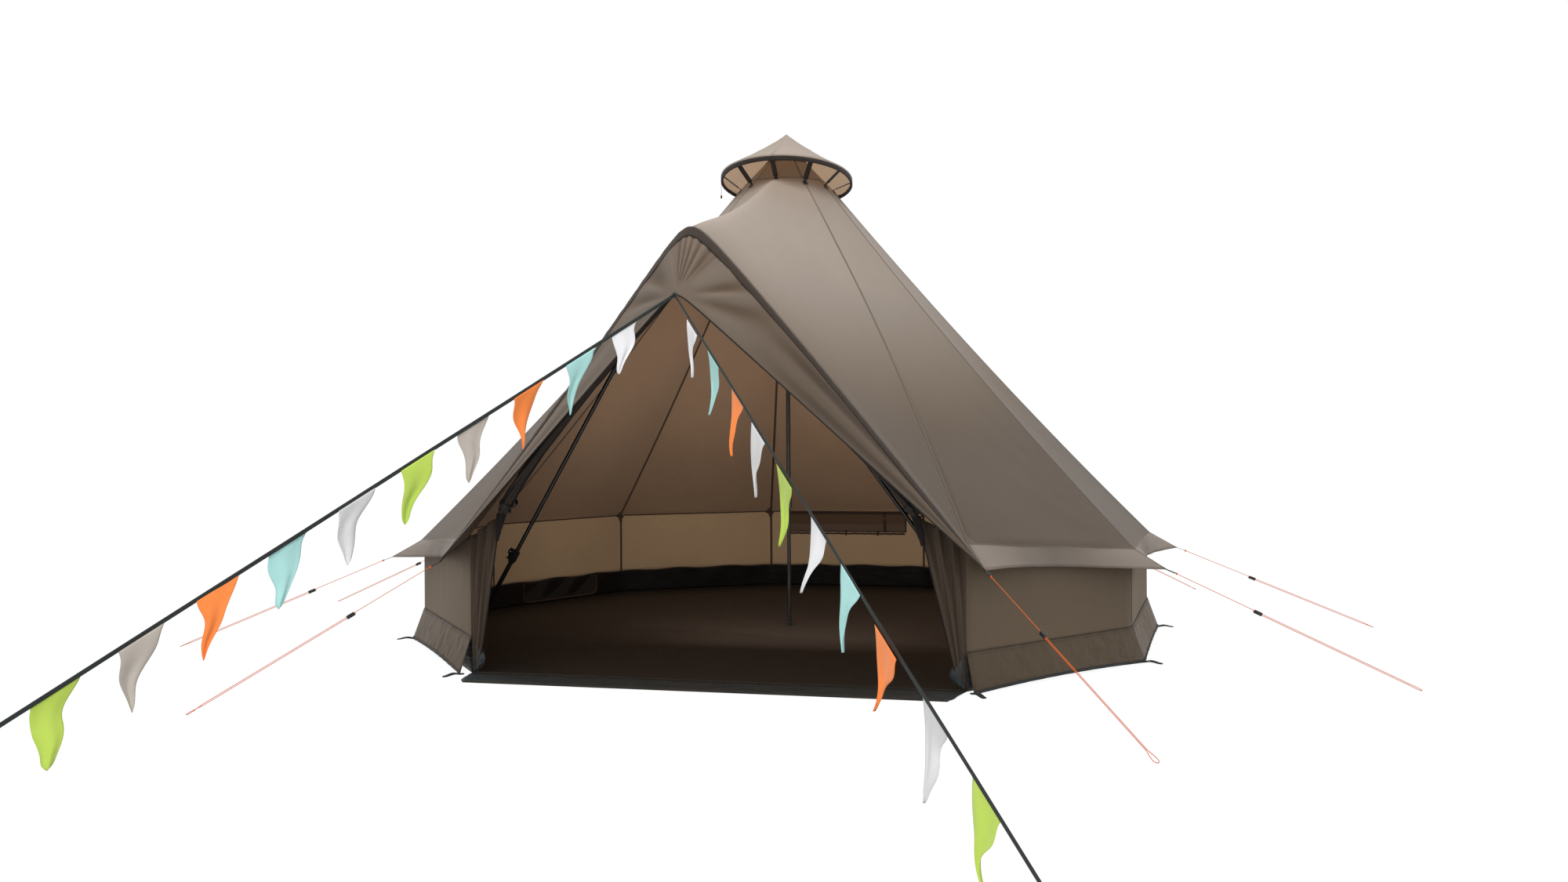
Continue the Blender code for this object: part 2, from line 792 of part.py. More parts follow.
def make_walls():
    """The nine walls, the skirt, and the net window in the back wall."""
    for number, place in enumerate(("right", "back", "left")):
        wall = as_object(f"wall_{place}", finished("wall", [walls(number * THIRD, THIRD)]), "wall")
        if place == "back":
            boolean(wall, helper("window_cut", [window_box(0, CUT_OVERRUN)]), "DIFFERENCE")
    face = WALL_RADIUS * CHORD_SHARE - CLOTH * CHORD_SHARE / 2
    half = WINDOW_WIDTH / 2 - GAP
    low = (-half, face - NET_SHEET / 2, WINDOW_SILL + GAP)
    high = (half, face + NET_SHEET / 2, WINDOW_SILL + WINDOW_HEIGHT - GAP)
    as_object("window_net", finished("window_net", [block(low, high)]), "net")
    edge = as_object("mud_skirt", finished("mud_skirt", [skirt()]), "skirt")
    boolean(edge, helper("peg_loops", [peg_loop(k) for k in range(WALL_COUNT + 1)]), "UNION")


def make_groundsheet():
    """The floor with its upturned tub edge, and the sill folded flat at the door."""
    inside = WALL_RADIUS - TUB_SHEET
    outer = [[plan(i, WALL_RADIUS, z) for i in range(WALL_COUNT + 1)] for z in (0, TUB_HEIGHT)]
    inner = [[plan(i, inside, z) for i in range(WALL_COUNT + 1)] for z in (0, TUB_HEIGHT)]
    sheet = as_object("groundsheet", finished("groundsheet", [skin(outer, inner)]), "groundsheet")
    edge = WALL_RADIUS - TUB_SHEET / 2
    outline = [plan(i, edge, 0) for i in range(WALL_COUNT + 1)]
    sill = -(WALL_RADIUS * cos(DOOR_HALF_ANGLE) + SILL_WIDTH)
    outline += [Vector((-SILL_HALF_LENGTH, sill, 0)), Vector((SILL_HALF_LENGTH, sill, 0))]
    top = [p + UP * FLOOR_SHEET for p in outline]
    boolean(sheet, helper("floor_join", [loft([outline, top])]), "UNION")


# Vent and cap


def make_vent():
    """The dark vent cone between the roof panels and the centre pole."""
    rim = [plan(i, VENT_RADIUS, VENT_HEIGHT) for i in range(WALL_COUNT + 1)]
    rim.append(toward(0) * VENT_RADIUS + UP * VENT_HEIGHT)
    throat = (POLE_RADIUS + GAP) / cos(pi / len(rim)) ** 2 + CLOTH
    slope = (VENT_HEIGHT - EAVE_HEIGHT) / (EAVE_RADIUS - VENT_RADIUS)
    outer = [[], []]
    inner = [[], []]
    for point in rim:
        level = Vector((point.x, point.y, 0)).normalized()
        low = point - level * GAP + UP * GAP
        high = level * throat + UP * (VENT_HEIGHT + (VENT_RADIUS - throat) * slope)
        for row, p in enumerate((low, high)):
            outer[row].append(p)
            inner[row].append(p - level * CLOTH - UP * CLOTH_DROP)
    as_object("roof_vent", finished("roof_vent", [skin(outer, inner, wrap=True)]), "net")


def tilted(point):
    """A point of the cap, raised on the door side by the cap's tilt."""
    return point - UP * point.y * tan(CAP_TILT)


def turned(profile):
    """A tilted turned shell from a closed profile of (radius, height) clear of the axis."""
    rings = [[tilted(p) for p in ring(r, CAP_SIDES, z)] for r, z in profile]
    half = len(rings) // 2
    return skin(rings[:half], rings[half:][::-1], wrap=True)


def hoop(radius, height):
    """A tilted closed ring of round section."""
    section = ring(HOOP_RADIUS, HOOP_SIDES)
    points = [tilted(p) for s in section for p in ring(radius + s.x, CAP_SIDES, height + s.y)]
    faces = []
    for i in range(HOOP_SIDES):
        a = i * CAP_SIDES
        b = (i + 1) % HOOP_SIDES * CAP_SIDES
        for j in range(CAP_SIDES):
            k = (j + 1) % CAP_SIDES
            faces.append((a + j, a + k, b + k, b + j))
    return points, faces


def make_cap():
    """The cap's cloth cone with its straps, the hoop in its rim, and its pull cord."""
    lip = CAP_RIM_HEIGHT - CAP_LIP
    crown = CAP_HEIGHT - CAP_CROWN_RADIUS * CAP_SLOPE
    inside = CAP_RADIUS - CLOTH
    profile = [(CAP_CROWN_RADIUS, crown), (CAP_RADIUS, CAP_RIM_HEIGHT), (CAP_RADIUS, lip),
               (inside, lip), (inside, CAP_RIM_HEIGHT - CAP_SKIN), (CAP_CROWN_RADIUS, crown - CAP_SKIN)]
    cover = as_object("cap_cover", finished("cap_cover", [turned(profile)]), "canopy")

    hoop_height = CAP_RIM_HEIGHT - CAP_LIP * HOOP_DROP_SHARE
    rim_hoop = hoop(inside - SEAT_GAP - HOOP_RADIUS, hoop_height)
    as_object("cap_hoop", finished("cap_hoop", [rim_hoop]), "steel", smooth=True)

    straps = []
    for corner in range(WALL_COUNT + 1):
        way = toward(CORNERS[corner])
        foot = seam(corner, STRAP_FOOT_SHARE) + (way + UP).normalized() * (STRAP_SHEET + SEAT_GAP)
        rim = way * (CAP_RADIUS - CLOTH / 2) * cos(pi / CAP_SIDES)
        head = tilted(rim + UP * (hoop_height + STRAP_RISE))
        straps.append(bar(foot, head, STRAP_WIDTH, STRAP_SHEET, way.cross(UP)))
    boolean(cover, helper("cap_straps", straps), "UNION")

    top = tilted(toward(PULL_CORD_ANGLE) * (CAP_RADIUS - CLOTH / 2) + UP * (lip - GAP))
    bottom = top - UP * PULL_CORD_LENGTH
    line = round_bar(bottom, top, PULL_CORD_RADIUS, CORD_SIDES)
    cord = as_object("cap_pull_cord", finished("cord", [line]), "plastic")
    half = UP * TOGGLE_LENGTH / 2
    toggle = round_bar(bottom - half, bottom + half, TOGGLE_RADIUS, PIN_SIDES)
    boolean(cord, helper("cap_toggle", [toggle]), "UNION")


# Poles


def clamp_and_lever(label, frame, bore):
    """A clamp bored along local Z, and the cam lever pinned between its outward ears."""
    half = CLAMP_LENGTH / 2
    solid = block((-CLAMP_HALF, -CLAMP_HALF, -half), (CLAMP_HALF, CLAMP_HALF, half))
    body = as_object(f"{label}_clamp", finished(label, [solid]), "plastic", frame)
    inside = LEVER_WIDTH / 2 + GAP
    outside = inside + EAR_SHEET
    root, end = CLAMP_HALF - CUT_OVERRUN, CLAMP_HALF + EAR_REACH
    ears = [block((root, low, half - EAR_LENGTH), (end, high, half - GAP))
            for low, high in ((-outside, -inside), (inside, outside))]
    boolean(body, helper(f"{label}_ears", ears, frame), "UNION")
    pivot = Vector((CLAMP_HALF + EAR_REACH / 2, 0, half - EAR_LENGTH / 2))
    reach = Vector((0, inside + EAR_SHEET / 2, 0))
    pin = round_bar(pivot - reach, pivot + reach, PIN_RADIUS, PIN_SIDES)
    boolean(body, helper(f"{label}_pin", [pin], frame), "UNION")
    over = UP * (half + CUT_OVERRUN)
    boolean(body, helper(f"{label}_bore", [round_bar(-over, over, bore)], frame), "DIFFERENCE")

    head = EAR_REACH / 2 - SEAT_GAP
    turns = [pi * (1 - i / LEVER_HEAD_STEPS) for i in range(LEVER_HEAD_STEPS + 1)]
    outline = [(head * cos(a), head * sin(a)) for a in turns]
    outline += [(LEVER_SHEET - head, LEVER_TOOTH - LEVER_LENGTH),
                (LEVER_SHEET - head + LEVER_TOOTH, -LEVER_LENGTH - LEVER_TOOTH), (-head, -LEVER_LENGTH)]
    rings = [[Vector((x, y, z)) for x, z in outline] for y in (-LEVER_WIDTH / 2, LEVER_WIDTH / 2)]
    place = frame @ Matrix.Translation(pivot)
    lever = as_object(f"{label}_lever", finished(label, [loft(rings)]), "plastic", place)
    reach = Vector((0, LEVER_WIDTH / 2 + CUT_OVERRUN, 0))
    hole = round_bar(-reach, reach, PIN_RADIUS + PIN_PLAY, PIN_SIDES)
    boolean(lever, helper(f"{label}_pin_hole", [hole], place), "DIFFERENCE")


def make_centre_pole():
    """Upper tube, lower tube that slides up into it, and the clamp between them."""
    inside = CAP_HEIGHT - CAP_SKIN
    top = inside - POLE_TOP_DROP
    tube = pipe(POLE_RADIUS, POLE_BORE, POLE_SPLIT_HEIGHT, top)
    upper = as_object("pole_upper", finished("pole", [tube]), "steel", smooth=True)
    neck = POLE_BORE + POLE_WALL / 2
    crown = inside - PLUG_RADIUS * (CAP_SLOPE + tan(CAP_TILT)) - GAP
    plug = turned_bar([(neck, top - PLUG_HEIGHT), (neck, top + GAP), (PLUG_RADIUS, crown)])
    boolean(upper, helper("pole_plug", [plug]), "UNION")

    floor = FLOOR_SHEET + GAP
    shoulder = floor + POLE_FOOT_HEIGHT / 2
    bore = POLE_LOWER_RADIUS - POLE_WALL
    tube = pipe(POLE_LOWER_RADIUS, bore, shoulder, POLE_SPLIT_HEIGHT + POLE_OVERLAP)
    lower = as_object("pole_lower", finished("pole", [tube]), "steel", smooth=True)
    foot = turned_bar([(POLE_FOOT_RADIUS, floor), (POLE_FOOT_RADIUS, shoulder),
                       (POLE_LOWER_RADIUS + GAP, floor + POLE_FOOT_HEIGHT)])
    boolean(lower, helper("pole_foot", [foot]), "UNION")
    middle = UP * (POLE_SPLIT_HEIGHT + CLAMP_LENGTH / 2 - CLAMP_RISE)
    clamp_and_lever("pole", axis_frame(middle, UP, Vector((-1, 0, 0))), POLE_RADIUS + GAP)


def leg_ends():
    """The right-hand leg's axis: its foot, and its top, so that the elbow carries the hood."""
    foot = toward(LEG_FOOT_ANGLE) * LEG_FOOT_RADIUS + UP * (FLOOR_SHEET + SEAT_GAP + SHOE_RADIUS)
    pitch = (VENT_HEIGHT - HOOD_HEIGHT) / (HOOD_REACH - VENT_RADIUS)
    ridge = HOOD_HEIGHT + (HOOD_REACH - LEG_TOP_REACH) * pitch - CLOTH_DROP
    crest = ridge - HOOD_PLAY - LEG_UPPER_RADIUS
    rise_share = LEG_TOP_HALF / (2 * (foot.x - LEG_TOP_HALF))
    height = (crest + rise_share * foot.z) / (1 + rise_share)
    return foot, Vector((LEG_TOP_HALF, -LEG_TOP_REACH, height))


def make_a_frame():
    """Two telescopic legs, and the elbow that joins them under the hood."""
    foot, top = leg_ends()
    for name, side in (("right", 1), ("left", -1)):
        low = mirrored(foot, side)
        high = mirrored(top, side)
        length = (high - low).length
        lock = length * LEG_LOCK_SHARE
        frame = axis_frame(low, high - low, Vector((side, 0, 0)))
        tube = pipe(LEG_UPPER_RADIUS, LEG_UPPER_RADIUS - LEG_WALL, lock - LEG_OVERLAP, length - GAP)
        as_object(f"leg_upper_{name}", finished("leg", [tube]), "steel", frame, smooth=True)
        tube = pipe(LEG_LOWER_RADIUS, LEG_UPPER_RADIUS + GAP, SHOE_RADIUS / 2, lock)
        lower = as_object(f"leg_lower_{name}", finished("leg", [tube]), "steel", frame, smooth=True)
        shoe = ball(Vector(), SHOE_RADIUS, SHOE_ROWS, SHOE_SIDES)
        boolean(lower, helper(f"leg_shoe_{name}", [shoe], frame), "UNION")
        middle = Matrix.Translation(UP * (lock - CLAMP_LENGTH / 2 + CLAMP_RISE))
        clamp_and_lever(f"leg_{name}", frame @ middle, LEG_LOWER_RADIUS + GAP)

    along = (top - foot).normalized()
    bend = top - along * (top.x / along.x)
    sections = []
    for i in range(ELBOW_STEPS + 1):
        t = i / ELBOW_STEPS
        start = mix(mirrored(top, -1), bend, t)
        end = mix(bend, top, t)
        frame = axis_frame(mix(start, end, t), end - start, Vector((0, -1, 0)))
        sections.append([frame @ p for p in ring(LEG_UPPER_RADIUS, ROUND_SIDES)])
    as_object("leg_elbow", finished("leg_elbow", [loft(sections)]), "steel", smooth=True)


# Guy lines


def guy_ground(corner):
    """Where a guy line's loop lies on the ground, as far up as half the loop hangs under it."""
    return plan(corner, GUY_GROUND_RADIUS, GUY_PAIR_SPACING / 2 + GUY_RADIUS + GAP)


def guy_ends(corner):
    """Where a guy line leaves its tab, and where it reaches the ground."""
    top = tip(corner)
    ground = guy_ground(corner)
    return top + (ground - top).normalized() * (TAB_LENGTH + GAP), ground


def guy_frame(corner):
    """Frame at the runner: local Z up the line, local X level, local Y under the line."""
    top, ground = guy_ends(corner)
    return axis_frame(mix(top, ground, RUNNER_SHARE), top - ground, UP.cross(toward(CORNERS[corner])))


def guy_route(corner):
    """The cord's centreline: tab to ground, round the peg and back up to the runner."""
    top, ground = guy_ends(corner)
    frame = guy_frame(corner)
    level, below, up_line = (frame.col[i].to_3d() for i in range(3))
    turn = ground + up_line * GUY_LOOP_LENGTH
    route = [mix(top, turn, i / GUY_STEPS) for i in range(GUY_STEPS)]
    for i in range(GUY_LOOP_STEPS + 1):
        swing = 2 * pi * i / GUY_LOOP_STEPS
        down = (1 - cos(swing)) / 2
        place = turn - up_line * GUY_LOOP_LENGTH * down + level * GUY_LOOP_RADIUS * sin(swing) * down
        route.append(place + below * GUY_PAIR_SPACING * i / GUY_LOOP_STEPS)
    end = frame.translation + below * GUY_PAIR_SPACING
    return route + [mix(route[-1], end, (i + 1) / GUY_STEPS) for i in range(GUY_STEPS)]


def guy_line(number, route):
    """A guy cord along its route."""
    curve = bpy.data.curves.new(f"guy_line_{number}", "CURVE")
    curve.dimensions = "3D"
    curve.bevel_depth = GUY_RADIUS
    curve.bevel_resolution = 2
    curve.use_fill_caps = True
    line = curve.splines.new("POLY")
    line.points.add(len(route) - 1)
    for point, place in zip(line.points, route):
        point.co = (*place, 1)
    curve.materials.append(material("guy_cord"))
    cord = bpy.data.objects.new(f"guy_line_{number}", curve)
    bpy.context.scene.collection.objects.link(cord)


def guy_runner(number, frame):
    """The runner that both strands pass through, with the knot that stops the returning one."""
    half = RUNNER_LENGTH / 2
    rim = RUNNER_BORE + RUNNER_RIM
    shell = block((-RUNNER_WIDTH / 2, -rim, -half), (RUNNER_WIDTH / 2, GUY_PAIR_SPACING + rim, half))
    name = f"guy_runner_{number}"
    runner = as_object(name, finished(name, [shell]), "plastic", frame)
    over = UP * (half + CUT_OVERRUN)
    strands = (Vector(), Vector((0, GUY_PAIR_SPACING, 0)))
    bores = [round_bar(place - over, place + over, RUNNER_BORE, KNOT_SIDES) for place in strands]
    boolean(runner, helper(f"{name}_bores", bores, frame), "DIFFERENCE")
    knot = ball(strands[1] + UP * (half + KNOT_RADIUS / 2), KNOT_RADIUS, KNOT_ROWS, KNOT_SIDES)
    boolean(runner, helper(f"{name}_knot", [knot], frame), "UNION")


def make_guys():
    """Ten guy lines, each with its runner."""
    for corner in range(WALL_COUNT + 1):
        guy_line(corner + 1, guy_route(corner))
        guy_runner(corner + 1, guy_frame(corner))


def guy_tab(corner):
    """The webbing tab sewn into a tip of the flap, where the guy line ties on."""
    top = tip(corner)
    along = (guy_ground(corner) - top).normalized()
    middle = top + cloth_inside(CORNERS[corner]) / 2
    middle += into_group(corner) * (TAB_WIDTH / 2 + GAP) * TAB_SLANT_SHARE
    level = toward(CORNERS[corner]).cross(UP)
    return bar(middle - along * TAB_SEWN, top + along * TAB_LENGTH, TAB_WIDTH, TAB_SHEET, level)


# Bunting


def tie_knot():
    """Centre of the knot that ties both bunting lines to the hood."""
    return TIE_POINT + Vector((0, -1, 0)) * (TIE_KNOT_RADIUS + SEAT_GAP)


def tape_line(side):
    """The two ends of a bunting line, from the knot to the ground."""
    knot = tie_knot()
    ground = mirrored(BUNTING_GROUND, side) + UP * TAPE_WIDTH / 2
    along = (ground - knot).normalized()
    return knot + along * (TIE_KNOT_RADIUS + SEAT_GAP), ground


def flag(start, along, number):
    """One hanging pennant: its upper edge follows the tape and its tip swings under one end of it."""
    level = Vector((along.x, along.y, 0)).normalized()
    normal = level.cross(UP)
    hang_share = FLAG_HANG_SHARE if along.x > 0 else 1 - FLAG_HANG_SHARE
    hangs = start + along * FLAG_WIDTH * hang_share
    outer = []
    inner = []
    for i in range(FLAG_ROWS + 1):
        down = i / FLAG_ROWS
        row = []
        for j in range(FLAG_COLUMNS + 1):
            t = j / FLAG_COLUMNS
            place = mix(hangs, start + along * FLAG_WIDTH * t, (1 - down) ** FLAG_TAPER)
            place += level * FLAG_TIP_WIDTH * (t - 0.5) * down - UP * FLAG_DROP * down
            row.append(place + normal * FLAG_FOLD * down * sin(2 * pi * t + number))
        outer.append([p + normal * FLAG_SHEET / 2 for p in row])
        inner.append([p - normal * FLAG_SHEET / 2 for p in row])
    return skin(outer, inner)


def make_bunting():
    """Two webbing tapes from the hood to the ground, each with its flags, and their knot."""
    lines = (("right", 1, FLAG_START_RIGHT, FLAG_SPACING_RIGHT),
             ("left", -1, FLAG_START_LEFT, FLAG_SPACING_LEFT))
    for name, side, start, spacing in lines:
        top, ground = tape_line(side)
        along = (ground - top).normalized()
        across = along.cross(UP)
        tape = bar(top, ground, TAPE_SHEET, TAPE_WIDTH, across)
        line = as_object(f"bunting_line_{name}", finished("tape", [tape]), "tape")
        edge = top + along.cross(across).normalized() * FLAG_SEWN
        flags = [flag(edge + along * (start + spacing * i), along, i) for i in range(FLAG_COUNT)]
        boolean(line, helper(f"bunting_flags_{name}", flags), "UNION")
    knot = ball(tie_knot(), TIE_KNOT_RADIUS, TIE_KNOT_ROWS, ROUND_SIDES)
    as_object("tie_knot", finished("tie_knot", [knot]), "tape", smooth=True)


# Doors


def roll_frame(share):
    """Frame on the rolled leaf's line: along the hem from near the tie point to the tie-back."""
    x = mix(ROLL_INSET, TIE_BACK.x - ROLL_INSET, share)
    along_hem = hem(x) + Vector((0, ROLL_INSET, ROLL_RISE))
    return axis_frame(mix(along_hem, TIE_BACK, share ** ROLL_TURN), ROLL_WAY, Vector((0, 1, 0)))


def roll_size(share):
    """Size of the rolls along their line, as a share of their full radius."""
    return mix(ROLL_TOP_SHARE, 1, share)


def roll(radius, sides, fold, spacing, side):
    """A rolled leaf of folded section that narrows to its upper end."""
    sections = []
    for i in range(ROLL_STEPS + 1):
        share = i / ROLL_STEPS
        frame = roll_frame(share)
        centre = Vector((spacing, 0, 0))
        section = [p * (1 - fold / radius) if k % 2 else p for k, p in enumerate(ring(radius, sides))]
        sections.append([mirrored(frame @ ((p + centre) * roll_size(share)), side) for p in section])
    return loft(sections)


def curtain(side):
    """The part of a leaf below its tie: it hangs from the corner seam in upright folds."""
    corner = plan(0, WALL_RADIUS - TUB_SHEET - SEAT_GAP, FLOOR_SHEET + SEAT_GAP)
    corner_top = Vector((corner.x, corner.y, TIE_BACK.z - CURTAIN_SLANT))
    foot = corner - Vector((CURTAIN_FOOT_WIDTH, 0, 0))
    square = (TIE_BACK - corner).cross(UP).normalized()
    outer = []
    inner = []
    for i in range(CURTAIN_ROWS + 1):
        share = i / CURTAIN_ROWS
        edge = mix(corner, corner_top, share)
        free = mix(foot, TIE_BACK, share)
        depth = CURTAIN_FOLD * mix(CURTAIN_FOOT_FOLD_SHARE, 1, share)
        row = [mix(edge, free, j / CURTAIN_COLUMNS) + square * depth * sin(pi * j / 2)
               for j in range(CURTAIN_COLUMNS + 1)]
        outer.append([mirrored(p, side) for p in row])
        inner.append([mirrored(p + square * CURTAIN_SHEET, side) for p in row])
    return skin(outer, inner)


def tie_band(side):
    """The strap round both rolls, part way along their last stretch."""
    before = 1 - 1 / ROLL_STEPS
    upper = roll_frame(before).translation
    middle = mix(upper, TIE_BACK, TIE_STRAP_SHARE)
    frame = axis_frame(middle, TIE_BACK - upper, Vector((0, 1, 0)))
    size = roll_size(mix(before, 1, TIE_STRAP_SHARE))
    inside = ROLL_RADIUS * size + SEAT_GAP
    grids = []
    for radius in (inside + TIE_STRAP_SHEET, inside):
        grid = []
        for z in (-TIE_STRAP_WIDTH / 2, TIE_STRAP_WIDTH / 2):
            loop = ring(radius / cos(pi / ROUND_SIDES), ROUND_SIDES, z)
            for k in range(-ROUND_SIDES // 4, ROUND_SIDES // 4 + 1):
                loop[k].x += NET_ROLL_SPACING * size
            grid.append([mirrored(frame @ p, side) for p in loop])
        grids.append(grid)
    return skin(*grids, wrap=True)


def make_doors():
    """Both leaves tied back, the net leaves behind them and the straps that hold them."""
    for name, side in (("right", 1), ("left", -1)):
        rolled = roll(ROLL_RADIUS, ROLL_SIDES, ROLL_FOLD, 0, side)
        leaf = as_object(f"door_{name}", finished("door", [rolled]), "door")
        boolean(leaf, helper(f"door_curtain_{name}", [curtain(side)]), "UNION")
        net = roll(NET_ROLL_RADIUS, NET_ROLL_SIDES, 0, NET_ROLL_SPACING, side)
        as_object(f"door_net_{name}", finished("door_net", [net]), "net")
        as_object(f"door_tie_{name}", finished("door_tie", [tie_band(side)]), "webbing")


# Pocket


def make_pocket():
    """A flap that hangs over the tub's edge inside, hinged along its upper edge."""
    middle = (CORNERS[POCKET_WALL] + CORNERS[POCKET_WALL + 1]) / 2
    inside = (WALL_RADIUS - TUB_SHEET - SEAT_GAP) * CHORD_SHARE - POCKET_SHEET
    hinge = toward(middle) * inside + UP * POCKET_TOP
    frame = axis_frame(hinge, UP, toward(middle).cross(UP))
    half = POCKET_WIDTH / 2
    low = -POCKET_HEIGHT
    cut = POCKET_CORNER * ROUND_CORNER_SHARE
    left = [(-half, 0), (-half, low + POCKET_CORNER), (cut - half, low + cut), (POCKET_CORNER - half, low)]
    outline = left + [(-x, z) for x, z in left[::-1]]
    sheets = [[Vector((x, y, z)) for x, z in outline] for y in (0, POCKET_SHEET)]
    as_object("pocket_flap", finished("pocket_flap", [loft(sheets)]), "skirt", frame)


clear_scene()
make_roof()
make_walls()
make_groundsheet()
make_vent()
make_cap()
make_centre_pole()
make_a_frame()
make_guys()
make_bunting()
make_doors()
make_pocket()
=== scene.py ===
# %% [markdown]
# # A bell tent in cloth, webbing and steel
#
# The imported model gives every solid of the tent in metres: poles, clamps, plain stand-ins for the
# cloth, cords and flags. This file dresses it. Hard parts keep their solids and get a finish. Soft
# parts are made again as what they are: sheets of cloth with seams, hems and folds, wound rolls,
# braided cords and sewn webbing. Each new piece lies where its solid lies and moves with its body,
# and the solids that it stands for are hidden.

import json
from math import atan2, cos, exp, pi, radians, sin, sqrt, tan

import bmesh
import bpy
from mathutils import Matrix, Vector, noise

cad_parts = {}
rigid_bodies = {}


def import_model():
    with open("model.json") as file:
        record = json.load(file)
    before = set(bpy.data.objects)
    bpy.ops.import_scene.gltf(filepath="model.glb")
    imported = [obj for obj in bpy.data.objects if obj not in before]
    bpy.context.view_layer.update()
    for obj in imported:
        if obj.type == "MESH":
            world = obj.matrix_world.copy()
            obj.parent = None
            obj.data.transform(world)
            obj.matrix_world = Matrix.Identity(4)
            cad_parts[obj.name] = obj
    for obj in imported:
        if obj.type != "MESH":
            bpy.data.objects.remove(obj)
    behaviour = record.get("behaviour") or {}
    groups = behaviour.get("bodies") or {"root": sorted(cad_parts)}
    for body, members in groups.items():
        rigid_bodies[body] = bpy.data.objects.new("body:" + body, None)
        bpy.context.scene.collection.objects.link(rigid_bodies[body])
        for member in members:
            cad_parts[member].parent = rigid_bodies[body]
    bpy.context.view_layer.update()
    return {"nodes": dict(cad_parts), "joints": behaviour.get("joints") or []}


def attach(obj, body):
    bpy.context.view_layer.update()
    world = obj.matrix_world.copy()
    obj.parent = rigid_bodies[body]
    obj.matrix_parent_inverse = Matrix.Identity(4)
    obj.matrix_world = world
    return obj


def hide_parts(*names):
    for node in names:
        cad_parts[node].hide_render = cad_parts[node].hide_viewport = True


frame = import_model()
UP = Vector((0, 0, 1))

# %% [markdown]
# ## The camera
#
# A camera can be placed by eye or solved from the photograph. Here it was solved: the tent's ten
# corners lie on a circle, which fixes the height of the eye, its distance and its turn. The eye is
# 1.09 m up and 7.2 m from the pole, a little to the right of the doorway.

# %% The camera
EYE = Vector((1.562, -7.049, 1.09))
AIM = Vector((1.3422, -6.0735, 1.09))
ROLL = radians(-0.37)

lens = bpy.data.cameras.new("photo_view")
lens.sensor_width = 36
lens.lens = 28.08
camera = bpy.data.objects.new("photo_view", lens)
bpy.context.scene.collection.objects.link(camera)
look = (AIM - EYE).to_track_quat("-Z", "Y").to_matrix().to_4x4()
camera.matrix_world = Matrix.Translation(EYE) @ look @ Matrix.Rotation(ROLL, 4, "Z")
bpy.context.scene.camera = camera
print("camera", tuple(round(x, 3) for x in EYE))

# %% [markdown]
# ## Points and directions
#
# Everything round the tent is counted from the doorway, which faces -Y: an angle turns from there
# to the right, and ten corners stand at equal angles from the door's right corner round the back to
# its left one. The sizes here are the ones that the solids have.

# %% Sizes of the plan, and small helpers for points
DOOR_HALF_ANGLE = radians(34.1)
PANELS = 9
CORNERS = [DOOR_HALF_ANGLE + 2 * (pi - DOOR_HALF_ANGLE) * i / PANELS for i in range(PANELS + 1)]
WALL_RADIUS = 2.075
GAP = 0.0003


def mix(a, b, share):
    """The value or point share of the way from a to b."""
    return a + (b - a) * share


def bulge(share):
    """0 at both ends of a span and 1 in its middle."""
    return 4 * share * (1 - share)


def ease(low, high, value):
    """0 below low, 1 above high, and a smooth step between."""
    share = min(1, max(0, (value - low) / (high - low)))
    return share * share * (3 - 2 * share)


def toward(angle):
    """The level direction at an angle from the door."""
    return Vector((sin(angle), -cos(angle), 0))


def plan(corner, radius, height):
    """A point over one of the floor's corners."""
    return toward(CORNERS[corner]) * radius + UP * height


def mirrored(point, side):
    """The point itself on the right, side 1, or its mirror image, side -1."""
    return Vector((side * point.x, point.y, point.z))


def axis_frame(origin, along, outward):
    """A matrix at origin with local Z along the axis and local X as near outward as fits."""
    z = along.normalized()
    y = z.cross(outward).normalized()
    return Matrix.Translation(origin) @ Matrix((y.cross(z), y, z)).transposed().to_4x4()


# %% [markdown]
# ## Finishes
#
# A finish is a material made of nodes, so it needs no picture and looks right from near and far.
# Cloth is coloured by broad soft patches and by thread streaks that follow its UV map, which is in
# metres, and its bump has the weave and shallow creases. A short class keeps the making of nodes
# readable: each call adds one node, sets its values and joins its inputs.

# %% A class that builds a finish node by node
def srgb(red, green, blue):
    """A colour as seen on a screen, 0 to 255, as Blender's linear values."""
    levels = [x / 255 for x in (red, green, blue)]
    return [x / 12.92 if x < 0.04045 else ((x + 0.055) / 1.055) ** 2.4 for x in levels] + [1]


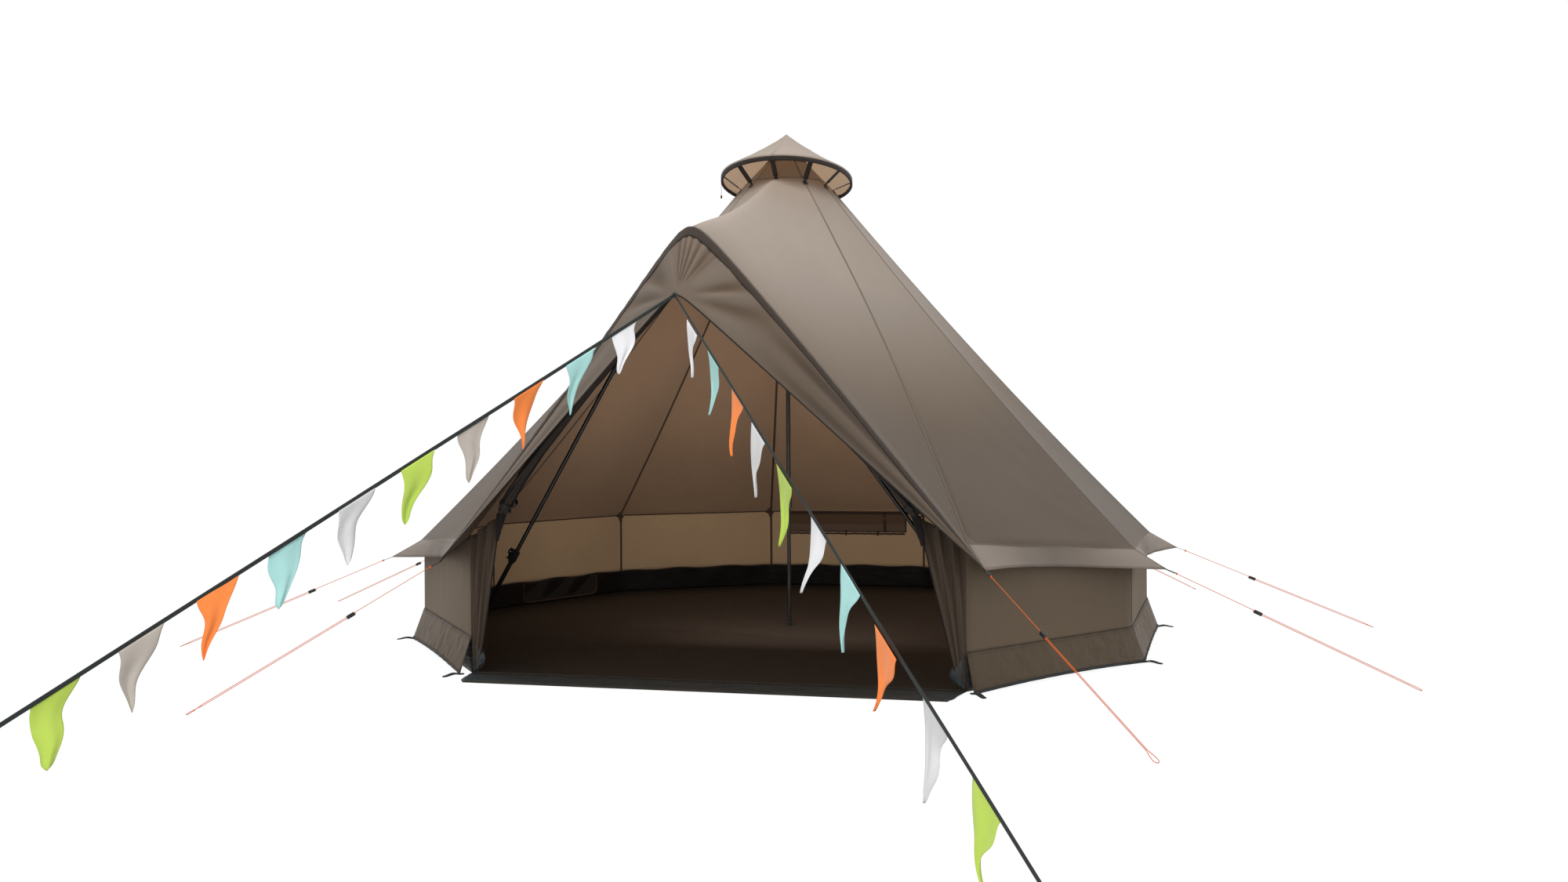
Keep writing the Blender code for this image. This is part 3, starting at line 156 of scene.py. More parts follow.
class Finish:
    """One material, built from nodes by short calls."""

    def __init__(self, name, roughness=0.6, metallic=0.0, sheen=0.0):
        self.made = bpy.data.materials.new(name)
        self.made.use_nodes = True
        self.tree = self.made.node_tree
        self.shader = self.tree.nodes["Principled BSDF"]
        self.shader.inputs["Metallic"].default_value = metallic
        self.shader.inputs["Roughness"].default_value = roughness
        self.shader.inputs["Sheen Weight"].default_value = sheen
        places = self.tree.nodes.new("ShaderNodeTexCoord")
        self.here = places.outputs["Object"]
        self.cloth = places.outputs["UV"]

    def node(self, kind, inputs=None, **settings):
        """Adds a node, sets what settings name, and fills or links its inputs."""
        made = self.tree.nodes.new(kind)
        for name, value in settings.items():
            setattr(made, name, value)
        for key, value in (inputs or {}).items():
            if isinstance(value, bpy.types.NodeSocket):
                self.tree.links.new(value, made.inputs[key])
            else:
                made.inputs[key].default_value = value
        return made

    def math(self, operation, *values):
        """The result of one sum on numbers or sockets."""
        return self.node("ShaderNodeMath", dict(enumerate(values)), operation=operation).outputs[0]

    def noise(self, scale, detail=2.0, stretch=None, where=None):
        """Cloudy noise from 0 to 1, stretched along an axis where stretch says so."""
        place = where or self.here
        if stretch:
            place = self.node("ShaderNodeMapping", {"Vector": place, "Scale": stretch}).outputs[0]
        values = {"Vector": place, "Scale": scale, "Detail": detail}
        return self.node("ShaderNodeTexNoise", values).outputs[0]

    def spread(self, value, low, high, start=0.0, end=1.0):
        """The value mapped from start to end onto low to high, and kept between them."""
        values = {"Value": value, "From Min": start, "From Max": end, "To Min": low, "To Max": high}
        return self.node("ShaderNodeMapRange", values).outputs[0]

    def blend(self, share, below, above, way="MIX"):
        """Two colours or colour sockets mixed by share."""
        values = {"Factor": share, 6: below, 7: above}
        return self.node("ShaderNodeMix", values, data_type="RGBA", blend_type=way).outputs[2]

    def tone(self, colour, level):
        """A colour made lighter or darker by a level near 1."""
        grey = self.node("ShaderNodeCombineColor", {0: level, 1: level, 2: level}).outputs[0]
        return self.blend(1.0, colour, grey, "MULTIPLY")

    def bumps(self, *heights):
        """Lays (height, distance) pairs over each other as the shader's bump."""
        normal = None
        for height, distance in heights:
            values = {"Height": height, "Distance": distance, "Strength": 1.0}
            if normal:
                values["Normal"] = normal
            normal = self.node("ShaderNodeBump", values).outputs[0]
        self.tree.links.new(normal, self.shader.inputs["Normal"])

    def done(self, colour, roughness=None):
        """Joins colour and roughness to the shader and gives the material."""
        self.tree.links.new(colour, self.shader.inputs["Base Color"])
        if roughness:
            self.tree.links.new(roughness, self.shader.inputs["Roughness"])
        return self.made


# %% Cloth, from tent canvas to coated skirt
LIT_HUE, SHADE_HUE = (1, 1.06, 1.13, 1), (1, 0.94, 0.85, 1)


def cloth(name, colour, roughness=0.8, sheen=0.1, thread=0.0022, crease=0.002, crumple=0.0,
          soil=0.0, seam=None, shades=True):
    """Woven cloth. thread, crease and crumple are in metres, seam is (width, colour) or None.

    soil is how strongly splashed mud darkens its foot. Where shades is true, the sheet's own shaded
    values make it darker and warmer, or lighter and cooler.
    """
    f = Finish(name, sheen=sheen)
    turns = 2 * pi / thread
    across = f.node("ShaderNodeSeparateXYZ", {0: f.cloth})
    warp = f.math("SINE", f.math("MULTIPLY", across.outputs[0], turns))
    weft = f.math("SINE", f.math("MULTIPLY", across.outputs[1], turns))
    weave = f.math("MULTIPLY", warp, weft)
    streaks = f.math("ADD", f.noise(9, 3, (60, 1.5, 1), f.cloth), f.noise(9, 3, (1.5, 60, 1), f.cloth))
    cloud = f.noise(1.7, 3)
    patches = f.spread(cloud, -0.06, 0.06, 0.3, 0.7)
    level = f.math("ADD", patches, f.spread(streaks, 0.95, 1.05, 0.7, 1.3))
    shown = colour
    if shades:
        shaded = f.node("ShaderNodeAttribute", attribute_name="shaded").outputs["Fac"]
        lit, warm = ([c * x for c, x in zip(colour, hue)] for hue in (LIT_HUE, SHADE_HUE))
        shown = f.blend(f.spread(shaded, 0, 1, -0.5, 0.5), lit, warm)
    shown = f.tone(shown, f.math("ADD", level, f.spread(weave, -0.02, 0.02, -1, 1)))
    if soil:
        height = f.node("ShaderNodeSeparateXYZ", {0: f.here}).outputs[2]
        splash = f.math("ADD", f.spread(height, 1, 0, 0, 0.16), f.spread(f.noise(14, 4), -0.6, 0.6))
        shown = f.blend(f.spread(splash, 0, soil, 0.3, 1.3), shown, srgb(74, 62, 49))
    heights = [(weave, 0.00012), (f.noise(11, 4), crease)]
    if crumple:
        folds = f.node("ShaderNodeTexVoronoi", {"Vector": f.here, "Scale": 16.0}, distance="MANHATTAN",
                       feature="SMOOTH_F1").outputs[0]
        heights.append((f.math("ADD", folds, f.noise(30, 3)), crumple))
    if shades:
        shown = f.tone(shown, f.spread(shaded, 1.6, 0.4, -1, 1))
    if seam:
        width, dark = seam
        edge = f.node("ShaderNodeAttribute", attribute_name="seam").outputs["Fac"]
        near = f.spread(edge, 1, 0, width * 0.85, width)
        shown = f.blend(near, shown, dark)
        heights.append((near, 0.0008))
    f.bumps(*heights)
    return f.done(shown, f.spread(cloud, roughness - 0.05, roughness + 0.07, 0.3, 0.7))


SEAM_DARK = srgb(58, 44, 34)
canopy_outside = cloth("canopy_outside", srgb(160, 143, 128), 0.62, 0.08,
                       seam=(0.007, srgb(136, 121, 108)))
canopy_inside = cloth("canopy_inside", srgb(140, 114, 92), 0.8, seam=(0.009, SEAM_DARK),
                      shades=False)
wall_outside = cloth("wall_outside", srgb(164, 143, 120), 0.7, 0.05, soil=0.35,
                     seam=(0.006, srgb(120, 104, 87)))
wall_inside = cloth("wall_inside", srgb(160, 136, 108), 0.8, seam=(0.009, SEAM_DARK))
hem_cloth = cloth("hem_cloth", srgb(118, 107, 96), 0.75)
dark_binding = cloth("dark_binding", srgb(46, 41, 38), 0.75, thread=0.003)
cloths = [m.name for m in bpy.data.materials if m.name.endswith(("side", "cloth", "binding"))]
print("cloth finishes", cloths)

# %% [markdown]
# ## Guy lines
#
# Ten guy lines hold the tent up, so they come first. A cord could be a curve with a round bevel.
# Here it is a mesh tube swept along the same points, because a tube can carry its own UV map: the
# braid's threads then wind round it at the right pitch. The route is the solid's: from the tab down
# to the ground, round where the peg goes, and back up to the runner.

# %% Sweep a section along a path
def swept(sections, closed=False, capped=True):
    """Points, faces and UV of a skin through like rings of points, its faces turned out."""
    count = len(sections[0])
    points = [p for section in sections for p in section]
    rows = len(sections)
    faces = []
    places = []
    length = 0.0
    round_it = sum((sections[0][i] - sections[0][i - 1]).length for i in range(count))
    for row in range(rows if closed else rows - 1):
        after = (row + 1) % rows
        step = (sections[after][0] - sections[row][0]).length
        for i in range(count):
            j = (i + 1) % count
            faces.append((row * count + i, row * count + j, after * count + j, after * count + i))
            u, v = round_it * i / count, round_it * (i + 1) / count
            places.append(((u, length), (v, length), (v, length + step), (u, length + step)))
        length += step
    if capped and not closed:
        faces.append(tuple(range(count))[::-1])
        faces.append(tuple(range((rows - 1) * count, rows * count)))
        places += [tuple((0.0, 0.0) for _ in range(count))] * 2
    return points, faces, places


def as_piece(name, shells, finishes, smooth=40):
    """An object at the origin from shells of (points, faces, places), with a UV map in metres."""
    points, faces, places = [], [], []
    for some_points, some_faces, some_places in shells:
        faces += [tuple(i + len(points) for i in face) for face in some_faces]
        points += some_points
        places += some_places
    mesh = bpy.data.meshes.new(name)
    mesh.from_pydata(points, [], faces)
    flat = mesh.uv_layers.new(name="UVMap")
    corners = [c for face in places for c in face]
    flat.data.foreach_set("uv", [x for c in corners for x in c])
    for finish in finishes:
        mesh.materials.append(finish)
    turned_out = bmesh.new()
    turned_out.from_mesh(mesh)
    bmesh.ops.recalc_face_normals(turned_out, faces=turned_out.faces)
    turned_out.to_mesh(mesh)
    turned_out.free()
    mesh.shade_smooth()
    mesh.set_sharp_from_angle(angle=radians(smooth))
    piece = bpy.data.objects.new(name, mesh)
    bpy.context.scene.collection.objects.link(piece)
    return piece


def along_path(path, closed=False):
    """Frames along a path whose sides don't twist: (point, side, top) at each point."""
    frames = []
    side = None
    for i, point in enumerate(path):
        before = path[i - 1] if i or closed else point
        after = path[(i + 1) % len(path)] if i < len(path) - 1 or closed else point
        along = (after - before).normalized()
        side = along.orthogonal() if side is None else side - along * side.dot(along)
        side.normalize()
        frames.append((point, side.copy(), along.cross(side)))
    return frames


def tube(path, radius, sides=10, closed=False, squeeze=1.0):
    """A round tube along a path, or a flatter one where squeeze is below 1."""
    turns = [2 * pi * i / sides for i in range(sides)]
    sections = [[p + a * radius * cos(t) + b * radius * squeeze * sin(t) for t in turns]
                for p, a, b in along_path(path, closed)]
    return swept(sections, closed)


def between(path, step):
    """The path's points with others added, so that no two are further apart than step."""
    filled = [path[0]]
    for point in path[1:]:
        start = filled[-1]
        count = max(1, round((point - start).length / step))
        filled += [mix(start, point, (i + 1) / count) for i in range(count)]
    return filled


def dress(piece, body, slot, *replaced):
    """Attaches a piece to the body it moves with and hides the solids it stands for; slot is not used.
    """
    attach(piece, body)
    if replaced:
        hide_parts(*replaced)
    return piece


# %% Braided cord, black webbing and moulded plastic
def braid(name, colour, dark, pitch=0.006, spread=0.0032, glow=0.0):
    """Threads that cross as they wind round a cord or strap."""
    f = Finish(name, 0.7, sheen=0.2)
    across = f.node("ShaderNodeSeparateXYZ", {0: f.cloth})
    round_it = f.math("MULTIPLY", across.outputs[0], 2 * pi / spread)
    along = f.math("MULTIPLY", across.outputs[1], 2 * pi / pitch)
    left = f.math("SINE", f.math("ADD", round_it, along))
    right = f.math("SINE", f.math("SUBTRACT", along, round_it))
    height = f.math("MAXIMUM", left, right)
    # Painted shade: the colour turns dark in the grooves between the threads; noise adds random
    # patches.
    share = f.math("ADD", f.spread(height, 0, 0.7, -0.4, 1), f.spread(f.noise(40), 0, 0.3))
    f.bumps((height, 0.0002))
    f.shader.inputs["Emission Color"].default_value = colour
    f.shader.inputs["Emission Strength"].default_value = glow
    return f.done(f.blend(share, dark, colour), f.spread(height, 0.85, 0.6, -1, 1))


def moulded(name, colour, roughness=0.45, grain=0.0002):
    """Plastic with a fine grain and slightly paler rubbed patches."""
    f = Finish(name, roughness)
    rub = f.noise(45, 4)
    shown = f.tone(colour, f.spread(rub, 0.9, 1.25, 0.3, 0.75))
    f.bumps((f.noise(900, 2), grain))
    return f.done(shown, f.spread(rub, roughness + 0.1, roughness - 0.1, 0.3, 0.7))


# Painted light: the guy cord glows a little in its own orange, to look as bright as in daylight.
guy_cord = braid("guy_cord", srgb(255, 124, 34), srgb(214, 84, 12), glow=0.3)
pull_cord = braid("pull_cord", srgb(34, 32, 30), srgb(20, 19, 18), 0.004, 0.0021)
webbing = braid("webbing", srgb(30, 29, 29), srgb(17, 17, 17), 0.004, 0.0036)
black_plastic = moulded("black_plastic", srgb(36, 36, 37))
print("cord finishes", guy_cord.name, webbing.name)

# %% The cord's route, as in the solids
TIP_RADIUS, TIP_HEIGHT = 2.25, 0.46
DOOR_TIP_RADIUS, DOOR_TIP_HEIGHT = 2.24, 0.54
GUY_GROUND_RADIUS = 3.35
GUY_RADIUS = 0.0015
STRANDS = 0.006
TAB_LENGTH = 0.045
RUNNER_SHARE = 0.36
RUNNER_DEPTH, RUNNER_WIDTH, RUNNER_LENGTH = 0.010, 0.0164, 0.038
BORE_RADIUS = 0.0021


def is_door(corner):
    """True at the two corners beside the doorway."""
    return corner in (0, PANELS)


def tip(corner):
    """The point of the eave flap that a guy line pulls on."""
    if is_door(corner):
        return plan(corner, DOOR_TIP_RADIUS, DOOR_TIP_HEIGHT)
    return plan(corner, TIP_RADIUS, TIP_HEIGHT)


def guy_ground(corner):
    """Where a guy line's loop lies on the ground."""
    return plan(corner, GUY_GROUND_RADIUS, STRANDS / 2 + GUY_RADIUS + GAP)


def guy_ends(corner):
    """Where a guy line leaves its tab, and where it reaches the ground."""
    top, ground = tip(corner), guy_ground(corner)
    return top + (ground - top).normalized() * (TAB_LENGTH + GAP), ground


def guy_frame(corner):
    """Frame at the runner: local Z up the line, local X level, local Y under the line."""
    top, ground = guy_ends(corner)
    return axis_frame(mix(top, ground, RUNNER_SHARE), top - ground, UP.cross(toward(CORNERS[corner])))


def guy_route(corner, loop=0.07, width=0.016, steps=24):
    """Tab to ground, round the peg's place, and back up to the runner's under side."""
    top, ground = guy_ends(corner)
    place = guy_frame(corner)
    level, below, up_line = (place.col[i].to_3d() for i in range(3))
    turn = ground + up_line * loop
    route = between([top, turn], 0.12)[:-1]
    for i in range(steps + 1):
        swing = 2 * pi * i / steps
        down = (1 - cos(swing)) / 2
        at = turn - up_line * loop * down + level * width * sin(swing) * down
        route.append(at + below * STRANDS * i / steps)
    return route[:-1] + between([route[-1], place.translation + below * STRANDS], 0.12)


def path_length(path):
    """Length of a path through its points."""
    return sum((b - a).length for a, b in zip(path, path[1:]))


# %% [markdown]
# ## Runners and knots
#
# Each line passes through a flat black runner and comes back to it, where an overhand knot stops
# it. The runner is a rounded block with two bores, cut once and copied to every line. The knot is a
# trefoil, the curve that an overhand knot's cord really takes, swept with the same thickness.

# %% Runners, knots and cords
def knot(centre, size, thickness, place=None):
    """A cord's overhand knot of about the given radius, as one closed tube."""
    steps = [2 * pi * i / 48 for i in range(48)]
    loop = [Vector((sin(t) + 2 * sin(2 * t), cos(t) - 2 * cos(2 * t), -sin(3 * t))) / 3 for t in steps]
    turn = place.to_3x3() if place else Matrix.Identity(3)
    return tube([centre + turn @ (p * (size - thickness)) for p in loop], thickness, 8, closed=True)


def runner_mesh():
    """One runner at the origin: a rounded block with its two bores."""
    shape = bmesh.new()
    bmesh.ops.create_cube(shape, size=1)
    size = Matrix.Diagonal((RUNNER_DEPTH, RUNNER_WIDTH, RUNNER_LENGTH, 1))
    bmesh.ops.transform(shape, verts=shape.verts, matrix=size)
    bmesh.ops.translate(shape, verts=shape.verts, vec=(0, STRANDS / 2, 0))
    bmesh.ops.bevel(shape, geom=list(shape.edges), offset=0.0022, segments=3, profile=0.6,
                    affect="EDGES")
    mesh = bpy.data.meshes.new("runner")
    shape.to_mesh(mesh)
    shape.free()
    block = bpy.data.objects.new("runner_block", mesh)
    steps = [2 * pi * i / 16 for i in range(16)]
    drills = []
    for y in (0, STRANDS):
        rings = [[Vector((BORE_RADIUS * cos(t), y + BORE_RADIUS * sin(t), z)) for t in steps]
                 for z in (-0.03, 0.03)]
        drills.append(swept(rings))
    drill = as_piece("runner_drill", drills, [black_plastic])
    bpy.context.scene.collection.objects.link(block)
    cut = block.modifiers.new("bores", "BOOLEAN")
    cut.object = drill
    cut.solver = "EXACT"
    made = bpy.data.meshes.new_from_object(block.evaluated_get(bpy.context.evaluated_depsgraph_get()))
    for used in (block, drill):
        bpy.data.objects.remove(used, do_unlink=True)
    made.materials.clear()
    made.materials.append(black_plastic)
    made.shade_smooth()
    made.set_sharp_from_angle(angle=radians(35))
    return made


runner_shape = runner_mesh()
for corner in range(PANELS + 1):
    number = corner + 1
    route = guy_route(corner)
    place = guy_frame(corner)
    line = as_piece(f"guy_cord_{number}", [tube(route, GUY_RADIUS, 8)], [guy_cord])
    dress(line, "tent", "guy_cord", f"guy_line_{number}")
    mesh = runner_shape.copy()
    mesh.transform(place)
    runner = bpy.data.objects.new(f"runner_{number}", mesh)
    bpy.context.scene.collection.objects.link(runner)
    dress(runner, f"runner_{number}", "plastic", f"guy_runner_{number}")
    stop = place @ Vector((0, STRANDS, RUNNER_LENGTH / 2 + 0.0032))
    stopper = as_piece(f"runner_knot_{number}", [knot(stop, 0.0042, 0.0013, place)], [guy_cord])
    dress(stopper, f"runner_{number}", "guy_cord")
    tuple(route[0])
    path_length(route)
print("guy line", round(path_length(guy_route(1)), 2), "m")

# %% [markdown]
# ## Sheets of cloth
#
# A sheet is a grid of points with one face per cell. Solidify gives it its thickness, away from the
# outer face, and hands the inner face and the edge materials of their own: the tent is taupe
# outside and warm brown inside. Each point keeps its distance from the nearest seam, from which the
# finishes darken the seam allowance.

# %% Build a sheet from rows of points
CLOTH = 0.0012


def running(path):
    """Distance along a path at each of its points."""
    total = [0.0]
    for a, b in zip(path, path[1:]):
        total.append(total[-1] + (b - a).length)
    return total


def cloth_sheet(name, rows, finishes, thickness=CLOTH, inside=Vector((0, 0, 1)), seam=None,
                shaded=None):
    """A sheet through rows of points; finishes are for its outside, inside and edge.

    seam holds each point's distance to the nearest seam, and shaded how much darker it lies: 0 is as
    the finish says, 1 is darkest and -1 lightest.
    """
    wide = len(rows[0])
    cells = [(r * wide + c, (r + 1) * wide + c) for r in range(len(rows) - 1) for c in range(wide - 1)]
    faces = [(above, above + 1, below + 1, below) for above, below in cells]
    mesh = bpy.data.meshes.new(name)
    mesh.from_pydata([p for row in rows for p in row], [], faces)
    across = [x for row in rows for x in running(row)]
    columns = [running([row[c] for row in rows]) for c in range(wide)]
    down = [columns[c][r] for r in range(len(rows)) for c in range(wide)]
    flat = mesh.uv_layers.new(name="UVMap")
    used = [loop.vertex_index for loop in mesh.loops]
    flat.data.foreach_set("uv", [x for i in used for x in (across[i], down[i])])
    count = len(across)
    near = mesh.attributes.new("seam", "FLOAT", "POINT")
    near.data.foreach_set("value", [x for row in seam for x in row] if seam else [1.0] * count)
    dark = mesh.attributes.new("shaded", "FLOAT", "POINT")
    dark.data.foreach_set("value", [x for row in shaded for x in row] if shaded else [0.0] * count)
    mesh.update()
    if sum((face.center - inside).dot(face.normal) * face.area for face in mesh.polygons) < 0:
        mesh.flip_normals()
    for finish in finishes:
        mesh.materials.append(finish)
    mesh.shade_smooth()
    piece = bpy.data.objects.new(name, mesh)
    bpy.context.scene.collection.objects.link(piece)
    wall = piece.modifiers.new("thickness", "SOLIDIFY")
    wall.thickness = thickness
    wall.offset = -1
    wall.material_offset = 1
    wall.material_offset_rim = 2
    piece["cut"] = [max(across), max(down), sum(face.area for face in mesh.polygons)]
    return piece


# %% [markdown]
# ## The roof
#
# Nine tapering panels run from the vent to the eave, and a short flap hangs from the eave, cut in a
# scallop between the tips that the guy lines pull on. One sheet serves all nine. Its shape is a
# rule: straight seams that sag a little, panels that sink between them, and small pull folds that
# fan out from each corner of the eave.

# %% The rule for a point of the roof
VENT_RADIUS, VENT_HEIGHT = 0.25, 2.59
EAVE_RADIUS, EAVE_HEIGHT, SEAM_SAG = 2.09, 0.55, 0.05
DOOR_EAVE_RADIUS, DOOR_EAVE_HEIGHT, DOOR_SEAM_SAG = 2.095, 0.64, 0.01
DOOR_SEAM_BOW = 0.05
PANEL_SINK = 0.02
SCALLOP_OUT, SCALLOP_DROP = 0.02, 0.09


def seam(corner, share):
    """A point of a roof seam, from the vent at share 0 to the eave at share 1."""
    radius, height, sag = EAVE_RADIUS, EAVE_HEIGHT, SEAM_SAG
    if is_door(corner):
        radius, height, sag = DOOR_EAVE_RADIUS, DOOR_EAVE_HEIGHT, DOOR_SEAM_SAG
    point = plan(corner, mix(VENT_RADIUS, radius, share), mix(VENT_HEIGHT, height, share))
    point -= UP * sag * bulge(share)
    if is_door(corner):
        inward = Vector((cos(CORNERS[corner]), sin(CORNERS[corner]), 0)) * (1 if corner == 0 else -1)
        point += inward * DOOR_SEAM_BOW * sin(pi * share)
    return point


def middle_of(panel):
    """The level direction to the middle of a panel."""
    return toward((CORNERS[panel] + CORNERS[panel + 1]) / 2)


def pull_folds(panel, t, down):
    """Height of the folds that fan up and across from a panel's two lower corners."""
    height = 0.0
    for number, over in enumerate((t, 1 - t)):
        x, y = over * 1.18, abs(1 - down) * 1.6
        reach = sqrt(x * x + y * y)
        way = atan2(x, y)
        strength = ease(0.02, 0.15, reach) * exp(-reach / 0.42)
        height += strength * sin(way * 17 + panel * 1.7 + number)
    return height


def roof_point(panel, t, down):
    """A point of a panel: t across it, down from the vent, 0, over the eave, 1, to the hem, 2."""
    share = min(1, down)
    way = (middle_of(panel) + UP).normalized()
    point = mix(seam(panel, share), seam(panel + 1, share), t)
    point -= way * PANEL_SINK * bulge(t) * sin(pi * share) ** 2
    puckers = sin(t * 2 * pi * 13 + panel) * ease(0.8, 1, share) * 0.0012
    point += way * (0.0042 * pull_folds(panel, t, down) + puckers) * bulge(t)
    if down <= 1:
        return point
    flap = down - 1
    right, left = (mix(seam(corner, 1), tip(corner), flap) for corner in (panel, panel + 1))
    straight = mix(right, left, t)
    scallop = point + (middle_of(panel) * SCALLOP_OUT - UP * SCALLOP_DROP) * flap
    ripple = middle_of(panel) * 0.004 * sin(t * 2 * pi * 6 + panel * 2) * flap
    return mix(straight, scallop + ripple, bulge(t))


# %% The roof in one sheet
LOW_SHADE, SUNLIT = 0.8, -0.62


def light_by_height(point):
    """The roof's shade at a point: lit from above, it lies darker towards the eave."""
    return mix(LOW_SHADE, SUNLIT, ease(1.0, 2.0, point.z)) + 0.2 * ease(2.1, 2.5, point.z)


ACROSS, DOWN, FLAP_ROWS = 24, 48, 8
FLAP_EDGE = 1.03
flap_downs = [FLAP_EDGE] + [1 + (i + 1) / FLAP_ROWS for i in range(FLAP_ROWS)]
downs = [i / DOWN for i in range(DOWN + 1)] + flap_downs
rows, seam_distance = [], []
for down in downs:
    row, near = [], []
    for panel in range(PANELS):
        width = (seam(panel, min(1, down)) - seam(panel + 1, min(1, down))).length
        for i in range(ACROSS + (panel == PANELS - 1)):
            t = i / ACROSS
            row.append(roof_point(panel, t, down))
            eave_line = (1 - down) * 2.7 if down <= 1 else 1.0
            near.append(min(t * width, (1 - t) * width, eave_line))
    rows.append(row)
    seam_distance.append(near)
lighting = [[light_by_height(p) if down <= 1 else SUNLIT for p in row]
            for row, down in zip(rows, downs)]
roof = cloth_sheet("roof", rows, [canopy_outside, canopy_inside, hem_cloth], seam=seam_distance,
                   shaded=lighting)
dress(roof, "tent", "canopy", "roof_right", "roof_back", "roof_left")
print("roof", round(roof["cut"][2], 1), "square metres in", len(roof.data.polygons), "faces")

# %% [markdown]
# ## The hood over the doorway
#
# A bent frame holds the cloth out over the door. Above it the roof runs on in one smooth saddle
# from the two door seams to the frame. Under it hangs the face, a triangle drawn together at the
# point where the bunting is tied, so that folds fan up from there to the peak. A dark sleeve lies
# along the frame between the two. All three are sheets made by rules of their own.

# %% The rules for the hood
HOOD_APEX = Vector((0, -1.95, 2.02))
TIE_POINT = Vector((0, -2.157, 1.702))
HOOD_SPAN = DOOR_TIP_RADIUS * sin(DOOR_HALF_ANGLE)
ARCH_ROUND, ARCH_BOW, HEM_ROUND = 0.06, 0.055, 0.03
RIDGE_SAG = 0.04
SLEEVE_WIDTH, SLEEVE_RUN_OUT = 0.028, 0.12
TURN_DOWN = (DOOR_EAVE_RADIUS - VENT_RADIUS) / (DOOR_TIP_RADIUS - VENT_RADIUS)


def rounded_share(rounding, x):
    """Share of the way from the ridge, 0, to the flap's tip, 1, with a round start."""
    reach = sqrt(HOOD_SPAN * HOOD_SPAN + rounding * rounding) - rounding
    return (sqrt(x * x + rounding * rounding) - rounding) / reach


def hood_line(top, rounding, x):
    """A point of the hood's edge that runs from top to the flap's tip, on either side."""
    point = mix(top, tip(0), rounded_share(rounding, x))
    return Vector((x, point.y, point.z))


def arch(x):
    """The line over the frame, where the roof turns into the face, drawn back part way down."""
    bow = ARCH_BOW * bulge(rounded_share(ARCH_ROUND, x))
    return hood_line(HOOD_APEX, ARCH_ROUND, x) + Vector((0, bow, 0))


def hem(x):
    """The lower edge of the face, over the doorway."""
    return hood_line(TIE_POINT, HEM_ROUND, x)


def full_seam(share):
    """The right-hand door seam carried on over the flap to its tip."""
    if share <= TURN_DOWN:
        return seam(0, share / TURN_DOWN)
    return mix(seam(0, 1), tip(0), (share - TURN_DOWN) / (1 - TURN_DOWN))


def hood_point(across, share):
    """A point of the hood's roof: across 0 is the door seam, 1 the ridge, share runs down."""
    top = mix(plan(0, VENT_RADIUS, VENT_HEIGHT), toward(0) * VENT_RADIUS + UP * VENT_HEIGHT, across)
    low = arch(HOOD_SPAN * (1 - across))
    bend = full_seam(share) - mix(plan(0, VENT_RADIUS, VENT_HEIGHT), tip(0), share)
    point = mix(top, low, share) + bend * (1 - across) ** 2
    point -= UP * RIDGE_SAG * (across * bulge(share)) ** 2
    waves = sin(across * 9 + share * 5) * 0.004 * sin(pi * share) * bulge(min(1, across))
    return point - (toward(DOOR_HALF_ANGLE / 2) + UP).normalized() * abs(waves)


def sleeve_share(across):
    """Share of a ray that the sleeve covers: its full width, run out near the flap's tip."""
    low = arch(HOOD_SPAN * (1 - across))
    step = (low - hood_point(across, 0.95)).length * 20
    return SLEEVE_WIDTH * min(1, across / SLEEVE_RUN_OUT) / step


def face_start(across):
    """Share of the face's height that the sleeve covers."""
    x = HOOD_SPAN * (1 - across)
    return min(SLEEVE_WIDTH / (arch(x) - hem(x)).length, 0.3) * min(1, across / SLEEVE_RUN_OUT)


def face_point(x, share):
    """A point of the face and its shade: pleats from the knot to the peak, long folds beside."""
    point = mix(arch(x), hem(x), share)
    rise, side = point.z - TIE_POINT.z, abs(x)
    reach = sqrt(rise * rise + side * side)
    way = atan2(x, rise)
    bundle = exp(-((way - 0.12) / 0.33) ** 2)
    pleats = sin(way * 44 + 1.6 * sin(way * 9)) * 0.0042 * bundle * ease(0.015, 0.09, reach)
    pleats *= 1 - ease(0.2, 0.34, reach) * 0.6
    fan = sin(way * 9 + 1.1 * sin(way * 4)) * 0.0038 * (1 - bundle) * ease(0.04, 0.16, reach)
    fan *= 1 - ease(0.18, 0.45, reach)
    long_folds = sin(share * 11 + side * 3 + (0.9 if x < 0 else 0)) * 0.0036 * ease(0.25, 0.6, side)
    long_folds *= 1 - ease(0.95, 1.2, side)
    loose = sin(pi * min(1, share * 1.02)) ** 0.6 if 0 < share < 0.98 else 0
    height = (pleats + fan + long_folds) * loose
    return point + Vector((0, -1, 0.35)).normalized() * height, ease(0.002, -0.005, height)


# %% The hood's roof, face and sleeve
HALF_WIDE, HOOD_ROWS, SEAM_ROWS = 36, 56, 48
half = [i / HALF_WIDE for i in range(HALF_WIDE + 1)]
rows = []
for i in range(HOOD_ROWS + 1):
    share = i / SEAM_ROWS * TURN_DOWN
    if i > SEAM_ROWS:
        share = mix(TURN_DOWN, 1, (i - SEAM_ROWS) / (HOOD_ROWS - SEAM_ROWS))
    right = [hood_point(a, share * (1 - sleeve_share(a))) for a in half]
    rows.append(right + [mirrored(p, -1) for p in right[-2::-1]])
wide = 2 * HALF_WIDE
seams = [[min(j, wide - j) / HALF_WIDE * 1.2 * max(0.2, i / HOOD_ROWS) for j in range(wide + 1)]
         for i in range(HOOD_ROWS + 1)]


def hood_shade(point, end, across):
    """Shade of the hood's roof: that of the roof, and darker folds just above its lower edge."""
    away = (point - end).length
    fold = 0.5 * bulge(across) * exp(-away / 0.13) * (0.75 + 0.25 * sin(away * 90))
    return min(0.85, light_by_height(point) + fold)


